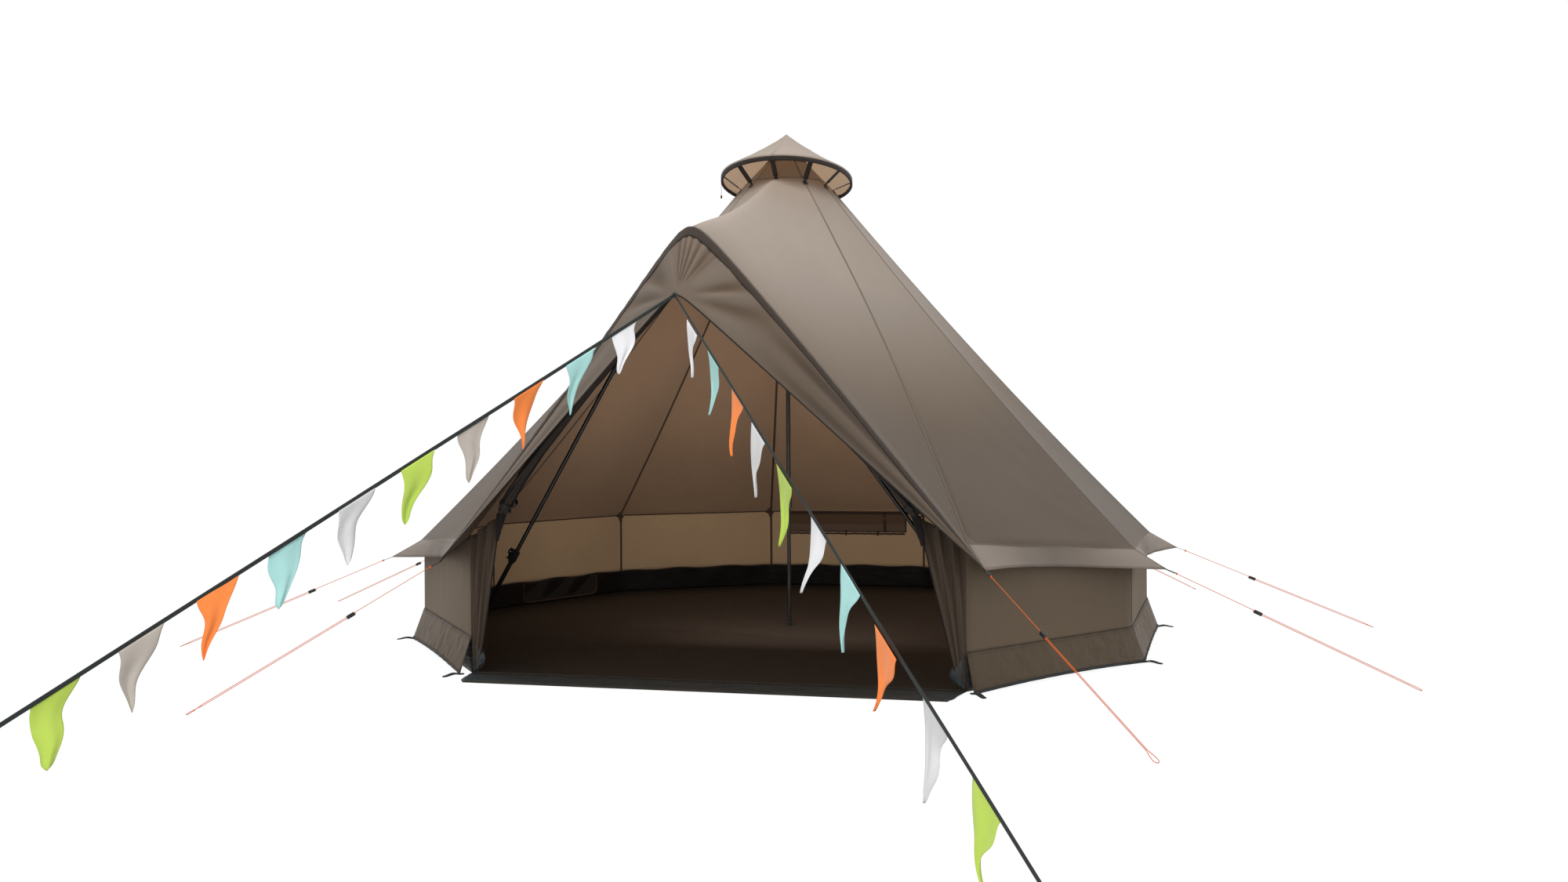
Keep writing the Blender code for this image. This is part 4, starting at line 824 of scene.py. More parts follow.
hood_shades = [[hood_shade(point, rows[-1][j], j / wide) for j, point in enumerate(row)]
               for row in rows]
hood = cloth_sheet("hood_roof", rows, [canopy_outside, canopy_inside, hem_cloth],
                   inside=Vector((0, -0.6, 0.8)), seam=seams, shaded=hood_shades)
dress(hood, "tent", "canopy", "hood_right", "hood_left")

FACE_HALF, FACE_ROWS = 170, 44
# Painted shade: the face is the canopy's cloth made darker, as it stands upright under light from
# above.
face_outside = cloth("face_outside", srgb(142, 124, 108), 0.7, 0.05)
xs = [HOOD_SPAN * 0.99 * (1 - i / FACE_HALF) ** 1.6 for i in range(FACE_HALF + 1)]
xs += [-x for x in xs[-2::-1]]
made = [[face_point(x, mix(face_start(1 - abs(x) / HOOD_SPAN), 1, j / FACE_ROWS)) for x in xs]
        for j in range(FACE_ROWS + 1)]
face_rows = [[point for point, _ in row] for row in made]
face_shades = [[shade + 0.3 - 0.7 * (1 - ease(0.1, 0.6, point.x)) for point, shade in row]
               for row in made]
face = cloth_sheet("hood_front", face_rows, [face_outside, canopy_inside, hem_cloth],
                   inside=Vector((0, -1, 0.9)), shaded=face_shades)
dress(face, "tent", "canopy", "hood_face")


def sleeve_row(x):
    """Points over the sleeve at x, a low padded arc from the roof over the arch to the face."""
    across = 1 - abs(x) / HOOD_SPAN
    side = 1 if x >= 0 else -1
    above = mirrored(hood_point(across, 1 - sleeve_share(across)), side)
    crest = arch(x)
    peak = exp(-(x / 0.35) ** 2)
    below = mix(crest, hem(x), face_start(across) * (1 + 0.9 * peak))
    out = (crest - (above + below) / 2).normalized()
    puff = 0.0038 * min(1, across / SLEEVE_RUN_OUT)
    ripple = 0.0012 * sin(x * 140) * sin(x * 33)
    row = []
    for i in range(9):
        t = i / 8
        point = mix(above, crest, t * 2) if t <= 0.5 else mix(crest, below, t * 2 - 1)
        row.append(point + out * ((puff + ripple) * sin(pi * t) + 0.0006 + 0.003 * peak * t))
    return row


sleeve_cloth = cloth("sleeve_cloth", srgb(74, 62, 53), 0.7, 0.1, crease=0.003, thread=0.003)
xs = [HOOD_SPAN * 0.985 * (1 - i / 110) for i in range(221)]
sleeve_rows = [sleeve_row(x) for x in xs]
sleeve = cloth_sheet("frame_sleeve", sleeve_rows, [sleeve_cloth, canopy_inside, hem_cloth],
                     inside=Vector((0, -1.2, 0.6)))
dress(sleeve, "tent", "sleeve", "hood_sleeve")
hem_path = [hem(x) + Vector((0, -0.001, 0.001)) for x in xs]
hem_edge = as_piece("hood_hem", [tube(hem_path, 0.004, 8, squeeze=0.6)], [dark_binding])
dress(hem_edge, "tent", "sleeve")
print("hood", round(hood["cut"][2], 2), "face", round(face["cut"][2], 2), "square metres")

# %% [markdown]
# ## Seams and their stitches
#
# Where two panels meet, the real cloth is folded over itself and sewn twice. The fold is a narrow
# strip that follows the seam. The stitches repeat thousands of times along a path, which is what
# Geometry Nodes are for: a path becomes points at an even spacing, each point gets one short
# thread, and the threads become plain mesh at the end because the export keeps no instances.

# %% The tree that sews stitches along paths
def stitch_tree():
    """A node tree that lays one short thread at every Spacing along a mesh's edges."""
    tree = bpy.data.node_groups.new("stitches", "GeometryNodeTree")
    add = tree.interface.new_socket
    add("Geometry", in_out="INPUT", socket_type="NodeSocketGeometry")
    for name in ("Spacing", "Length", "Thickness"):
        add(name, in_out="INPUT", socket_type="NodeSocketFloat")
    add("Thread", in_out="INPUT", socket_type="NodeSocketMaterial")
    add("Geometry", in_out="OUTPUT", socket_type="NodeSocketGeometry")
    node, link = tree.nodes.new, tree.links.new
    given, made = node("NodeGroupInput"), node("NodeGroupOutput")
    curve, points = node("GeometryNodeMeshToCurve"), node("GeometryNodeCurveToPoints")
    thread, placed = node("GeometryNodeMeshCylinder"), node("GeometryNodeInstanceOnPoints")
    real, finish = node("GeometryNodeRealizeInstances"), node("GeometryNodeSetMaterial")
    points.mode = "LENGTH"
    thread.inputs["Vertices"].default_value = 5
    link(given.outputs["Geometry"], curve.inputs["Mesh"])
    link(curve.outputs["Curve"], points.inputs["Curve"])
    link(given.outputs["Spacing"], points.inputs["Length"])
    link(given.outputs["Length"], thread.inputs["Depth"])
    link(given.outputs["Thickness"], thread.inputs["Radius"])
    link(points.outputs["Points"], placed.inputs["Points"])
    link(thread.outputs["Mesh"], placed.inputs["Instance"])
    link(points.outputs["Rotation"], placed.inputs["Rotation"])
    link(placed.outputs["Instances"], real.inputs["Geometry"])
    link(real.outputs["Geometry"], finish.inputs["Geometry"])
    link(given.outputs["Thread"], finish.inputs["Material"])
    link(finish.outputs["Geometry"], made.inputs["Geometry"])
    return tree


STITCHES = stitch_tree()


def sewn(name, paths, thread, body, slot, spacing=0.009, length=0.006, thickness=0.0006):
    """Stitches along paths as one plain mesh that moves with a body."""
    points = [p for path in paths for p in path]
    edges, first = [], 0
    for path in paths:
        edges += [(first + i, first + i + 1) for i in range(len(path) - 1)]
        first += len(path)
    mesh = bpy.data.meshes.new(name + "_path")
    mesh.from_pydata(points, edges, [])
    guide = bpy.data.objects.new(name + "_path", mesh)
    bpy.context.scene.collection.objects.link(guide)
    nodes = guide.modifiers.new("stitches", "NODES")
    nodes.node_group = STITCHES
    sizes = {"Spacing": spacing, "Length": length, "Thickness": thickness, "Thread": thread}
    for item in STITCHES.interface.items_tree:
        if item.in_out == "INPUT" and item.name in sizes:
            nodes[item.identifier] = sizes[item.name]
    real = bpy.data.meshes.new_from_object(guide.evaluated_get(bpy.context.evaluated_depsgraph_get()))
    guide.modifiers.clear()
    bpy.data.objects.remove(guide, do_unlink=True)
    piece = bpy.data.objects.new(name, real)
    bpy.context.scene.collection.objects.link(piece)
    dress(piece, body, slot)
    print(name, len(real.polygons), "faces")
    return piece


def thread_finish(name, colour):
    """Sewing thread: two shades that wind along it."""
    f = Finish(name, 0.6)
    return f.done(f.tone(colour, f.spread(f.noise(700, 1), 0.8, 1.2, 0.3, 0.7)))


taupe_thread = thread_finish("taupe_thread", srgb(132, 120, 108))
dark_thread = thread_finish("dark_thread", srgb(60, 52, 46))

# %% The ten roof seams, folded and sewn, and the stitched hem of the flap
def beside_seam(corner, offset, down, lift):
    """A point offset metres beside a roof seam, on the roof or the hood, lifted off the cloth."""
    panel = corner if offset > 0 else corner - 1
    if is_door(corner) and (offset < 0) == (corner == 0):
        full = down * TURN_DOWN if down <= 1 else mix(TURN_DOWN, 1, down - 1)
        width = max(0.05, (hood_point(0.1, full) - hood_point(0, full)).length * 10)
        point = mirrored(hood_point(abs(offset) / width, full), 1 if corner == 0 else -1)
    else:
        ends = roof_point(panel, 0, down), roof_point(panel, 1, down)
        t = abs(offset) / (ends[1] - ends[0]).length
        point = roof_point(panel, t if offset > 0 else 1 - t, down)
    out = (toward(CORNERS[corner]) * 0.8 + UP * 0.6) if down <= 1 else toward(CORNERS[corner])
    return point + out.normalized() * lift


FOLD_SECTION = ((-0.007, 0.0002), (-0.0062, 0.0012), (-0.002, 0.0015), (0.002, 0.0015),
                (0.0062, 0.0012), (0.007, 0.0002))
FOLD_STEP = 0.003
folds, stitch_lines = [], []
seam_steps = [0.012 + i / 60 * 0.988 for i in range(61)]
seam_steps += [1 + (i + 1) / 4 * 0.97 for i in range(4)]
for corner in range(PANELS + 1):
    rows = [[beside_seam(corner, offset, down, lift) for offset, lift in FOLD_SECTION]
            for down in seam_steps]
    points = [p for row in rows for p in row]
    lengths = running([row[0] for row in rows])
    cells = [(r, c) for r in range(len(rows) - 1) for c in range(5)]
    faces = [(r * 6 + c, r * 6 + c + 1, r * 6 + c + 7, r * 6 + c + 6) for r, c in cells]
    places = []
    for r, c in cells:
        left, right = c * FOLD_STEP, c * FOLD_STEP + FOLD_STEP
        above, below = lengths[r], lengths[r + 1]
        places.append(((left, above), (right, above), (right, below), (left, below)))
    folds.append((points, faces, places))
    for x in (-0.0042, 0.0042):
        stitch_lines.append([beside_seam(corner, x, down, 0.0015) for down in seam_steps])
seam_cloth = cloth("seam_cloth", srgb(146, 134, 121), 0.7, 0.15, thread=0.002)
seam_folds = as_piece("roof_seam_folds", folds, [seam_cloth])
dress(seam_folds, "tent", "canopy")
hem_stitches = [[roof_point(k, i / 24, 1.9) + toward(CORNERS[k]) * 0.0006 for i in range(25)]
                for k in range(PANELS)]
sewn("roof_stitches", stitch_lines + hem_stitches, taupe_thread, "tent", "canopy", 0.011, 0.007)

# %% [markdown]
# ## Walls, skirt and window
#
# The walls stand inside the eave, nine upright panels from the tub's rim to the roof. They hang from
# the roof, so shallow upright folds run down from their upper edge. The skirt is a heavier coated
# cloth that flares to the ground. It crumples, which is a matter of both the mesh and the bump.

# %% Walls with their window
TUB_HEIGHT = 0.155
WINDOW_HALF, WINDOW_LOW, WINDOW_HIGH = 0.45, 0.405, 0.545
WALL_ROWS, WALL_COLUMNS = 18, 22


def wall_top(corner):
    """Height of the roof's underside over a corner, where the wall is sewn to it."""
    edge, height, sag = EAVE_RADIUS, EAVE_HEIGHT, SEAM_SAG
    if is_door(corner):
        edge, height, sag = DOOR_EAVE_RADIUS, DOOR_EAVE_HEIGHT, DOOR_SEAM_SAG
    slope = (VENT_HEIGHT - height - 4 * sag) / (edge - VENT_RADIUS)
    return height - 0.0015 + (edge - 0.0025 - WALL_RADIUS) * slope


def wall_point(panel, t, rise):
    """A point of a wall: t across its panel, rise from the tub's rim, 0, to the roof, 1."""
    ends = (panel, panel + 1)
    low = mix(*(plan(corner, WALL_RADIUS, TUB_HEIGHT) for corner in ends), t)
    high = mix(*(plan(corner, WALL_RADIUS, wall_top(corner)) for corner in ends), t)
    point = mix(low, high, rise)
    hang = 0
    if 0 < rise < 1:
        hang = sin(t * 2 * pi * 9 + panel * 2.3 + sin(t * 11)) * 0.0028 * sin(pi * rise) ** 0.5
    belly = 0.010 * bulge(t) * bulge(rise)
    return point + middle_of(panel) * (hang * bulge(t) - belly)


width = 2 * WALL_RADIUS * sin((CORNERS[1] - CORNERS[0]) / 2)
rows, near = [], []
for j in range(WALL_ROWS + 1):
    rise = j / WALL_ROWS
    row, distances = [], []
    for panel in range(PANELS):
        for i in range(WALL_COLUMNS + (panel == PANELS - 1)):
            t = i / WALL_COLUMNS
            row.append(wall_point(panel, t, rise))
            distances.append(min(t, 1 - t) * width if panel or t > 0.5 else (1 - t) * width)
    rows.append(row)
    near.append([min(d, (1 - rise) * 0.4) for d in distances])
walls = cloth_sheet("walls", rows, [wall_outside, wall_inside, hem_cloth],
                    inside=Vector((0, 0, 0.35)), seam=near)
window_corners = ((-WINDOW_HALF, WINDOW_LOW), (WINDOW_HALF, WINDOW_LOW),
                  (WINDOW_HALF, WINDOW_HIGH), (-WINDOW_HALF, WINDOW_HIGH))
block = swept([[Vector((x, y, z)) for x, z in window_corners] for y in (1.9, 2.06)])
hole = as_piece("window_hole", [block], [dark_binding])
cut = walls.modifiers.new("window", "BOOLEAN")
cut.object = hole
cut.solver = "EXACT"
solid = bpy.data.meshes.new_from_object(walls.evaluated_get(bpy.context.evaluated_depsgraph_get()))
walls.modifiers.clear()
walls.data = solid
bpy.data.objects.remove(hole, do_unlink=True)
dress(walls, "tent", "wall", "wall_right", "wall_back", "wall_left")
print("walls", len(walls.data.polygons), "faces")

# %% The window's net, frame and rolled blind
def netting(name, colour, pitch=0.003, see_through=0.0):
    """Fine netting: threads that cross at every pitch metres, darker between them."""
    f = Finish(name, 0.9)
    place = f.node("ShaderNodeSeparateXYZ", {0: f.cloth})
    threads = [f.math("SINE", f.math("MULTIPLY", place.outputs[i], 2 * pi / pitch)) for i in (0, 1)]
    height = f.math("MAXIMUM", *threads)
    f.bumps((height, 0.0003), (f.noise(16, 3), 0.003))
    f.shader.inputs["Alpha"].default_value = 1 - see_through
    return f.done(f.tone(colour, f.spread(height, 0.6, 1.15, -1, 1)))


back = WALL_RADIUS * cos((CORNERS[1] - CORNERS[0]) / 2)
window_mesh = netting("window_mesh", srgb(84, 66, 52), see_through=0.08)
rows = [[Vector((-0.4495 + 0.899 * i / 40, back - 0.0012 - 0.0012 * sin(i * 0.9) * sin(j * 0.8),
                 0.4053 + 0.1394 * j / 8)) for i in range(41)] for j in range(9)]
window = cloth_sheet("window_net_sheet", rows, [window_mesh] * 3, 0.0006)
dress(window, "tent", "net", "window_net")


def flat_strap(path, width, thickness, facing, sides=8):
    """A webbing strap along a path: width across it, its flat faces turned to facing."""
    sections = []
    for i, point in enumerate(path):
        along = (path[min(i + 1, len(path) - 1)] - path[max(i - 1, 0)]).normalized()
        face = facing(i) if callable(facing) else facing
        out = (face - along * face.dot(along)).normalized()
        across = along.cross(out)
        ring = []
        for k in range(sides):
            t = 2 * pi * (k + 0.5) / sides
            x, y = (max(-1, min(1, value)) for value in (1.12 * cos(t), 1.4 * sin(t)))
            ring.append(point + across * width / 2 * x + out * thickness / 2 * y)
        sections.append(ring)
    return swept(sections)


window_tape = cloth("window_tape", srgb(48, 37, 30), 0.8, thread=0.003)
inner_y = back - 0.0022
inward = Vector((0, -1, 0))
frame_lines = [[Vector((x, inner_y, 0.397)), Vector((x, inner_y, 0.553))]
               for x in (-0.455, 0.29, 0.455)]
frame_lines += [[Vector((-0.466, inner_y, z)), Vector((0.466, inner_y, z))] for z in (0.401, 0.549)]
straps = [flat_strap(between(line, 0.05), 0.022, 0.0012, inward) for line in frame_lines]
blind = [Vector((-0.44 + 0.022 * i, inner_y - 0.008 - 0.001 * sin(i * 1.7),
                 0.395 + 0.0016 * sin(i * 2.3))) for i in range(41)]
straps.append(tube(blind, 0.007, 10, squeeze=0.8))
for x in (-0.24, 0.0, 0.24):
    hanger = [Vector((x, inner_y - 0.0166, z)) for z in (0.380, 0.395, 0.420)]
    straps.append(flat_strap(hanger, 0.012, 0.0012, inward))
window_frame = as_piece("window_frame", straps, [window_tape])
dress(window_frame, "tent", "wall")
print("window", round(2 * WINDOW_HALF, 2), "m wide")

# %% The mud skirt with its edge tape and its loops for pegs
SKIRT_TOP, SKIRT_RADIUS = 0.172, 2.14
SKIRT_ROWS, SKIRT_COLUMNS = 12, 30
LOOP_WIDTH, LOOP_THICKNESS = 0.022, 0.0036


def skirt_point(panel, t, down):
    """A point of the skirt: it leaves the wall at 0.17 m, flares, and lifts between the pegs."""
    radius = mix(WALL_RADIUS + 0.0028, SKIRT_RADIUS, down)
    height = mix(SKIRT_TOP, 0, down)
    point = mix(plan(panel, radius, height), plan(panel + 1, radius, height), t)
    crumple = noise.noise(Vector((point.x * 9, point.y * 9, point.z * 16))) * 0.5
    crumple += sin(t * 2 * pi * 11 + panel + down * 2) * 0.35
    out = middle_of(panel) * 0.008 * crumple * sin(pi * min(1, down * 0.9)) * min(1, 8 * bulge(t))
    return point + UP * (0.015 * bulge(t) * down) + Vector((out.x, out.y, 0))


rows, near = [], []
for j in range(SKIRT_ROWS + 1):
    down = j / SKIRT_ROWS
    row = [skirt_point(k, i / SKIRT_COLUMNS, down) for k in range(PANELS)
           for i in range(SKIRT_COLUMNS + (k == PANELS - 1))]
    rows.append(row)
    near.append([min(down, 1 - down) * 0.18] * len(row))
skirt_outside = cloth("skirt_outside", srgb(124, 105, 82), 0.6, 0.03, thread=0.003, crease=0.005,
                      crumple=0.007, soil=0.3, seam=(0.006, srgb(98, 85, 70)))
skirt = cloth_sheet("skirt", rows, [skirt_outside, wall_inside, dark_binding],
                    inside=Vector((0, 0, 0.1)), seam=near)
dress(skirt, "tent", "skirt", "mud_skirt")


def along_skirt(panel, down, lift):
    """Points along one panel of the skirt, lifted off it."""
    return [skirt_point(panel, i / SKIRT_COLUMNS, down) + middle_of(panel) * lift
            for i in range(SKIRT_COLUMNS + 1)]


loops = []
for corner in range(PANELS + 1):
    way = toward(CORNERS[corner])
    start = plan(corner, SKIRT_RADIUS - 0.02, 0.0012)
    out = [start + way * 0.104 * i / 14 + UP * 0.0055 * sin(pi * i / 14) ** 3 for i in range(15)]
    back_again = [start + way * 0.100 * (1 - i / 14)
                  + UP * (0.0022 + 0.0085 * sin(pi * (1 - i / 14)) ** 2) for i in range(15)]
    loops.append(flat_strap(out + back_again, LOOP_WIDTH, LOOP_THICKNESS, UP))
for panel in range(PANELS):
    loops.append(flat_strap(along_skirt(panel, 0.96, 0.0018), 0.015, 0.0012, middle_of(panel)))
peg_loops = as_piece("peg_loops", loops, [webbing])
dress(peg_loops, "tent", "webbing")
skirt_lines = [along_skirt(panel, down, 0.001) for panel in range(PANELS) for down in (0.03, 0.09)]
sewn("skirt_stitches", skirt_lines, dark_thread, "tent", "skirt", 0.012, 0.008)

# %% [markdown]
# ## The groundsheet
#
# The floor is one heavy sheet, brown-black, with a black tub edge. At the door its edge is folded
# flat into a grey sill. A sheet this stiff keeps the creases that it was packed with, which a few
# stretched noises give better than any mesh.

# %% Floor, tub edge, sill and the ears beside the door
def ground_finish(name, colour, roughness, streak, packed=0.012, worn=0.3):
    """Coated woven sheet. packed is how deep its creases are, worn how strong its scuffs."""
    f = Finish(name, roughness)
    scuff = f.noise(5, 5, streak)
    creases = f.math("MULTIPLY", f.noise(2.2, 2), f.noise(14, 4, streak))
    f.bumps((creases, packed), (f.noise(220, 2), 0.0004))
    return f.done(f.tone(colour, f.spread(scuff, 1 - worn, 1 + worn, 0.3, 0.72)),
                  f.spread(scuff, roughness + worn * 0.3, roughness - worn * 0.3, 0.3, 0.7))


floor_finish = ground_finish("floor_sheet", srgb(42, 36, 32), 0.62, (1, 1, 1), 0.003, 0.05)
tub_finish = ground_finish("tub_sheet", srgb(9, 9, 10), 0.6, (1, 1, 6))
sill_finish = ground_finish("sill_sheet", srgb(64, 76, 80), 0.38, (1.2, 22, 1), worn=0.5)
edge_radius = WALL_RADIUS - 0.00175
outline = [plan(i, edge_radius, 0) for i in range(PANELS + 1)]
sill_y = -(WALL_RADIUS * cos(DOOR_HALF_ANGLE) + 0.22)
outline += [Vector((-1.1, sill_y, 0)), Vector((1.1, sill_y, 0))]
floor_shell = swept([outline, [p + UP * 0.003 for p in outline]])
floor = as_piece("groundsheet_floor", [floor_shell], [floor_finish], 20)
dress(floor, "tent", "groundsheet", "groundsheet")


def tub_top(panel, t):
    """Height of the tub's upper edge, which stands up in slack waves between the corners."""
    return TUB_HEIGHT + 0.011 * (0.5 + 0.5 * sin(t * 19 + panel * 1.7)) * bulge(t) ** 0.5


TUB_ROWS, TUB_COLUMNS = 8, 24
rows = []
for j in range(TUB_ROWS + 1):
    row = []
    for k in range(PANELS):
        for i in range(TUB_COLUMNS + (k == PANELS - 1)):
            t = i / TUB_COLUMNS
            z = mix(0.001, tub_top(k, t), j / TUB_ROWS)
            point = mix(plan(k, WALL_RADIUS - 0.0006, z), plan(k + 1, WALL_RADIUS - 0.0006, z), t)
            slack = 1 + sin(t * 31 + k + j * 0.6)
            point -= middle_of(k) * 0.0045 * slack * bulge(t) * (j / TUB_ROWS) ** 0.5
            row.append(point)
    rows.append(row)
tub = cloth_sheet("tub_edge", rows, [tub_finish] * 3, 0.0016, inside=Vector((0, 0, 0.08)))
dress(tub, "tent", "groundsheet")

SILL_ROWS, SILL_COLUMNS = 10, 80
SILL_HALF = [1.158 - 0.004 * j - 0.02 * max(0, (j - 8) / 2) ** 2 for j in range(SILL_ROWS + 1)]
sill_start = -WALL_RADIUS * cos(DOOR_HALF_ANGLE) - 0.002
sill_rows = []
for j, half_width in enumerate(SILL_HALF):
    row = []
    for i in range(SILL_COLUMNS + 1):
        wrinkle = 1 + noise.noise(Vector((i * 0.5, j * 0.9, 3.0)))
        x = mix(-1, 1, i / SILL_COLUMNS) * half_width
        y = mix(sill_start, sill_y, j / SILL_ROWS)
        row.append(Vector((x, y, 0.0042 + 0.0022 * wrinkle * sin(pi * j / SILL_ROWS))))
    sill_rows.append(row)
sill = cloth_sheet("door_sill", sill_rows, [sill_finish] * 3, 0.001, inside=Vector((0, -1.8, -1)))
dress(sill, "tent", "groundsheet")
rims = [tube([p - UP * 0.002 for p in rows[-1]], 0.0028, 8)]
for half_width, y, z, radius in ((1.085, 0.004, 0.0055, 0.0035), (1.15, 0.214, 0.0062, 0.0030)):
    crease = [Vector((mix(-half_width, half_width, i / 20), sill_y + y, z)) for i in range(21)]
    rims.append(tube(crease, radius, 8))
piping_brown = cloth("piping_brown", srgb(78, 66, 54), 0.7, thread=0.002)
tub_rim = as_piece("tub_rim", rims, [piping_brown])
dress(tub_rim, "tent", "groundsheet")

EAR_WIDTH, EAR_HEIGHT = 0.074, 0.150
ears, ear_rims = [], []
for side in (1, -1):
    foot = mirrored(plan(0, WALL_RADIUS - 0.008, 0.004), side)
    inward = Vector((-side, 0.12, 0)).normalized()
    edge = []
    for i in range(17):
        t = i / 16
        reach = inward * EAR_WIDTH * sin(pi * min(1, t * 1.02)) ** 0.7 * (1 - 0.2 * t)
        forward = Vector((0, -0.02 * sin(pi * t), 0))
        edge.append(foot + reach + UP * mix(0.0, EAR_HEIGHT, t) + forward)
    post = [foot + UP * mix(0.0, EAR_HEIGHT, i / 16) for i in range(17)]
    ears.append([[mix(a, b, j / 8) - Vector((0, 0.008 * sin(pi * j / 8), 0)) for j in range(9)]
                 for a, b in zip(post, edge)])
    ear_rims.append(tube(edge, 0.0025, 8))
for side, rows in zip(("right", "left"), ears):
    ear = cloth_sheet(f"tub_ear_{side}", rows, [sill_finish] * 3, 0.0012, inside=Vector((0, -1, 0.1)))
    dress(ear, "tent", "groundsheet")
dress(as_piece("tub_ear_rims", ear_rims, [piping_brown]), "tent", "groundsheet")

# %% [markdown]
# ## The vent and its cap
#
# Under the cap the roof ends in a cone of dark netting. The cap is a small cone of the roof's cloth
# on a hoop, held at a distance by eleven straps and tipped up at the door. Its hem is turned in round
# the hoop, so the hoop stays hidden but the hem shows its thickness. Its underside is painted light:
# pale, and glowing, for the sky that shines through the cloth.

# %% The vent's netting and the cap
CAP_RADIUS, CAP_RIM_HEIGHT, CAP_HEIGHT, CAP_LIP = 0.387, 2.634, 2.90, 0.030
CAP_TILT = radians(9)
CAP_ROWS, LIP_ROWS, CAP_COLUMNS = 24, 3, 120
CAP_HOLLOW, CAP_SHADE = 0.011, -0.5
POLE_RADIUS, VENT_SLOPE = 0.0160, 1.1087
VENT_ROWS = 12


def tilted(point):
    """A point of the cap, raised on the door side by the cap's tilt."""
    return point - UP * point.y * tan(CAP_TILT)


rim = [plan(i, VENT_RADIUS, VENT_HEIGHT) for i in range(PANELS + 1)]
rim.append(toward(0) * VENT_RADIUS + UP * VENT_HEIGHT)
rim = between(rim + rim[:1], 0.02)
rows = []
for j in range(VENT_ROWS + 1):
    share = j / VENT_ROWS
    row = []
    for i, point in enumerate(rim):
        level = Vector((point.x, point.y, 0)).normalized()
        low = point - level * 0.0006 + UP * 0.0005
        high = level * POLE_RADIUS + UP * (VENT_HEIGHT + (VENT_RADIUS - POLE_RADIUS) * VENT_SLOPE)
        sink = 0.006 * bulge(share) + 0.0015 * sin(i * 1.9) * sin(pi * share)
        row.append(mix(low, high, share) - UP * sink)
    rows.append(row)
vent_mesh = netting("vent_mesh", srgb(40, 35, 32))
vent = cloth_sheet("vent_netting", rows[6:], [vent_mesh] * 3, 0.0006, Vector((0, 0, 2.5)))
dress(vent, "tent", "net", "roof_vent")
turn_of = [atan2(p.x, -p.y) % (2 * pi) for p in rim]
seam_turns = [min(abs((turn - c + pi) % (2 * pi) - pi) for c in CORNERS) for turn in turn_of]
near_seam = [[turn * VENT_RADIUS * (1 - j / VENT_ROWS) for turn in seam_turns] for j in range(8)]
collar = cloth_sheet("roof_collar", rows[:8], [canopy_outside, canopy_inside, hem_cloth], 0.0009,
                     Vector((0, 0, 2.5)), near_seam)
dress(collar, "tent", "canopy")

# Painted light: the cap's underside is pale and glows, for the sky that shines through its cloth.
cap_lining = cloth("cap_lining", srgb(206, 184, 160), 0.8)
glow = cap_lining.node_tree.nodes["Principled BSDF"].inputs
glow["Emission Color"].default_value = srgb(194, 168, 142)
glow["Emission Strength"].default_value = 0.5
binding_cloth = cloth("binding_cloth", srgb(52, 45, 40), 0.75, thread=0.0024)
turns = [2 * pi * i / CAP_COLUMNS for i in range(CAP_COLUMNS + 1)]
rings = [(0.002 + (CAP_RADIUS - 0.002) * i / CAP_ROWS, i / CAP_ROWS) for i in range(CAP_ROWS + 1)]
rings += [(CAP_RADIUS, 1.0)] * LIP_ROWS
rows = []
for j, (radius, share) in enumerate(rings):
    row = []
    for turn in turns:
        panel = (turn / (2 * pi) * 10) % 1
        dent = noise.noise(Vector((sin(turn) * 3, cos(turn) * 3, share * 9)))
        sag = 0.004 * bulge(panel) * sin(pi * share) + 0.0018 * dent * sin(pi * share)
        drop = max(0, j - CAP_ROWS) / LIP_ROWS * (CAP_LIP - 0.004)
        hollow = CAP_HOLLOW * sin(pi * share ** 0.8)
        cone = CAP_HEIGHT - (radius / CAP_RADIUS) * (CAP_HEIGHT - CAP_RIM_HEIGHT)
        height = cone - sag * 1.2 - drop - hollow
        row.append(tilted(toward(turn) * radius + UP * height))
    rows.append(row)
cap = cloth_sheet("cap_cone", rows, [canopy_outside, cap_lining, binding_cloth, binding_cloth],
                  inside=Vector((0, 0, 2.5)), shaded=[[CAP_SHADE] * len(turns)] * len(rows))
for face in cap.data.polygons[(CAP_ROWS + 1) * CAP_COLUMNS:]:
    face.material_index = 3
dress(cap, "tent", "canopy", "cap_cover")

HEM_SECTION = ((0.3871, 2.6080), (0.3870, 2.6040), (0.3850, 2.6022), (0.3800, 2.6026),
               (0.3752, 2.6056), (0.3738, 2.6115), (0.3752, 2.6172), (0.3792, 2.6205),
               (0.3835, 2.6215))
rows = []
for i, (radius, height) in enumerate(HEM_SECTION):
    rows.append([tilted(toward(turn) * radius + UP * (height + 0.0006 * sin(turn * 47) * sin(i)))
                 for turn in turns])
hem_roll = cloth_sheet("cap_hem", rows, [binding_cloth] * 3, 0.001, inside=Vector((0, 0, 2.61)))
dress(hem_roll, "tent", "sleeve")

cap_straps, strap_stitches = [], []
strap_feet = [(toward(CORNERS[k]), seam(k, 0.022), seam(k, 0.012)) for k in range(PANELS + 1)]
strap_feet.append((toward(0), hood_point(1, 0.028), hood_point(1, 0.014)))
for way, low, high in strap_feet:
    out = (way + UP).normalized()
    foot = high + out * 0.0021
    head = tilted(way * 0.3752 + UP * 2.6145)
    cap_straps.append(flat_strap(between([low + out * 0.0019, foot, head], 0.02), 0.028, 0.0013, out))
    level = way.cross(UP) * 0.010
    lifted_low, lifted_foot = low + out * 0.0026, foot + out * 0.0008
    strap_stitches.append([lifted_low - level, lifted_low + level, lifted_foot + level,
                           lifted_foot - level])
dress(as_piece("cap_straps", cap_straps, [binding_cloth]), "tent", "webbing")
rim_stitches = [tilted(toward(t) * 0.3876 + UP * 2.6215) for t in turns]
sewn("cap_stitches", strap_stitches + [rim_stitches], taupe_thread, "tent", "canopy", 0.006, 0.004,
     0.0004)

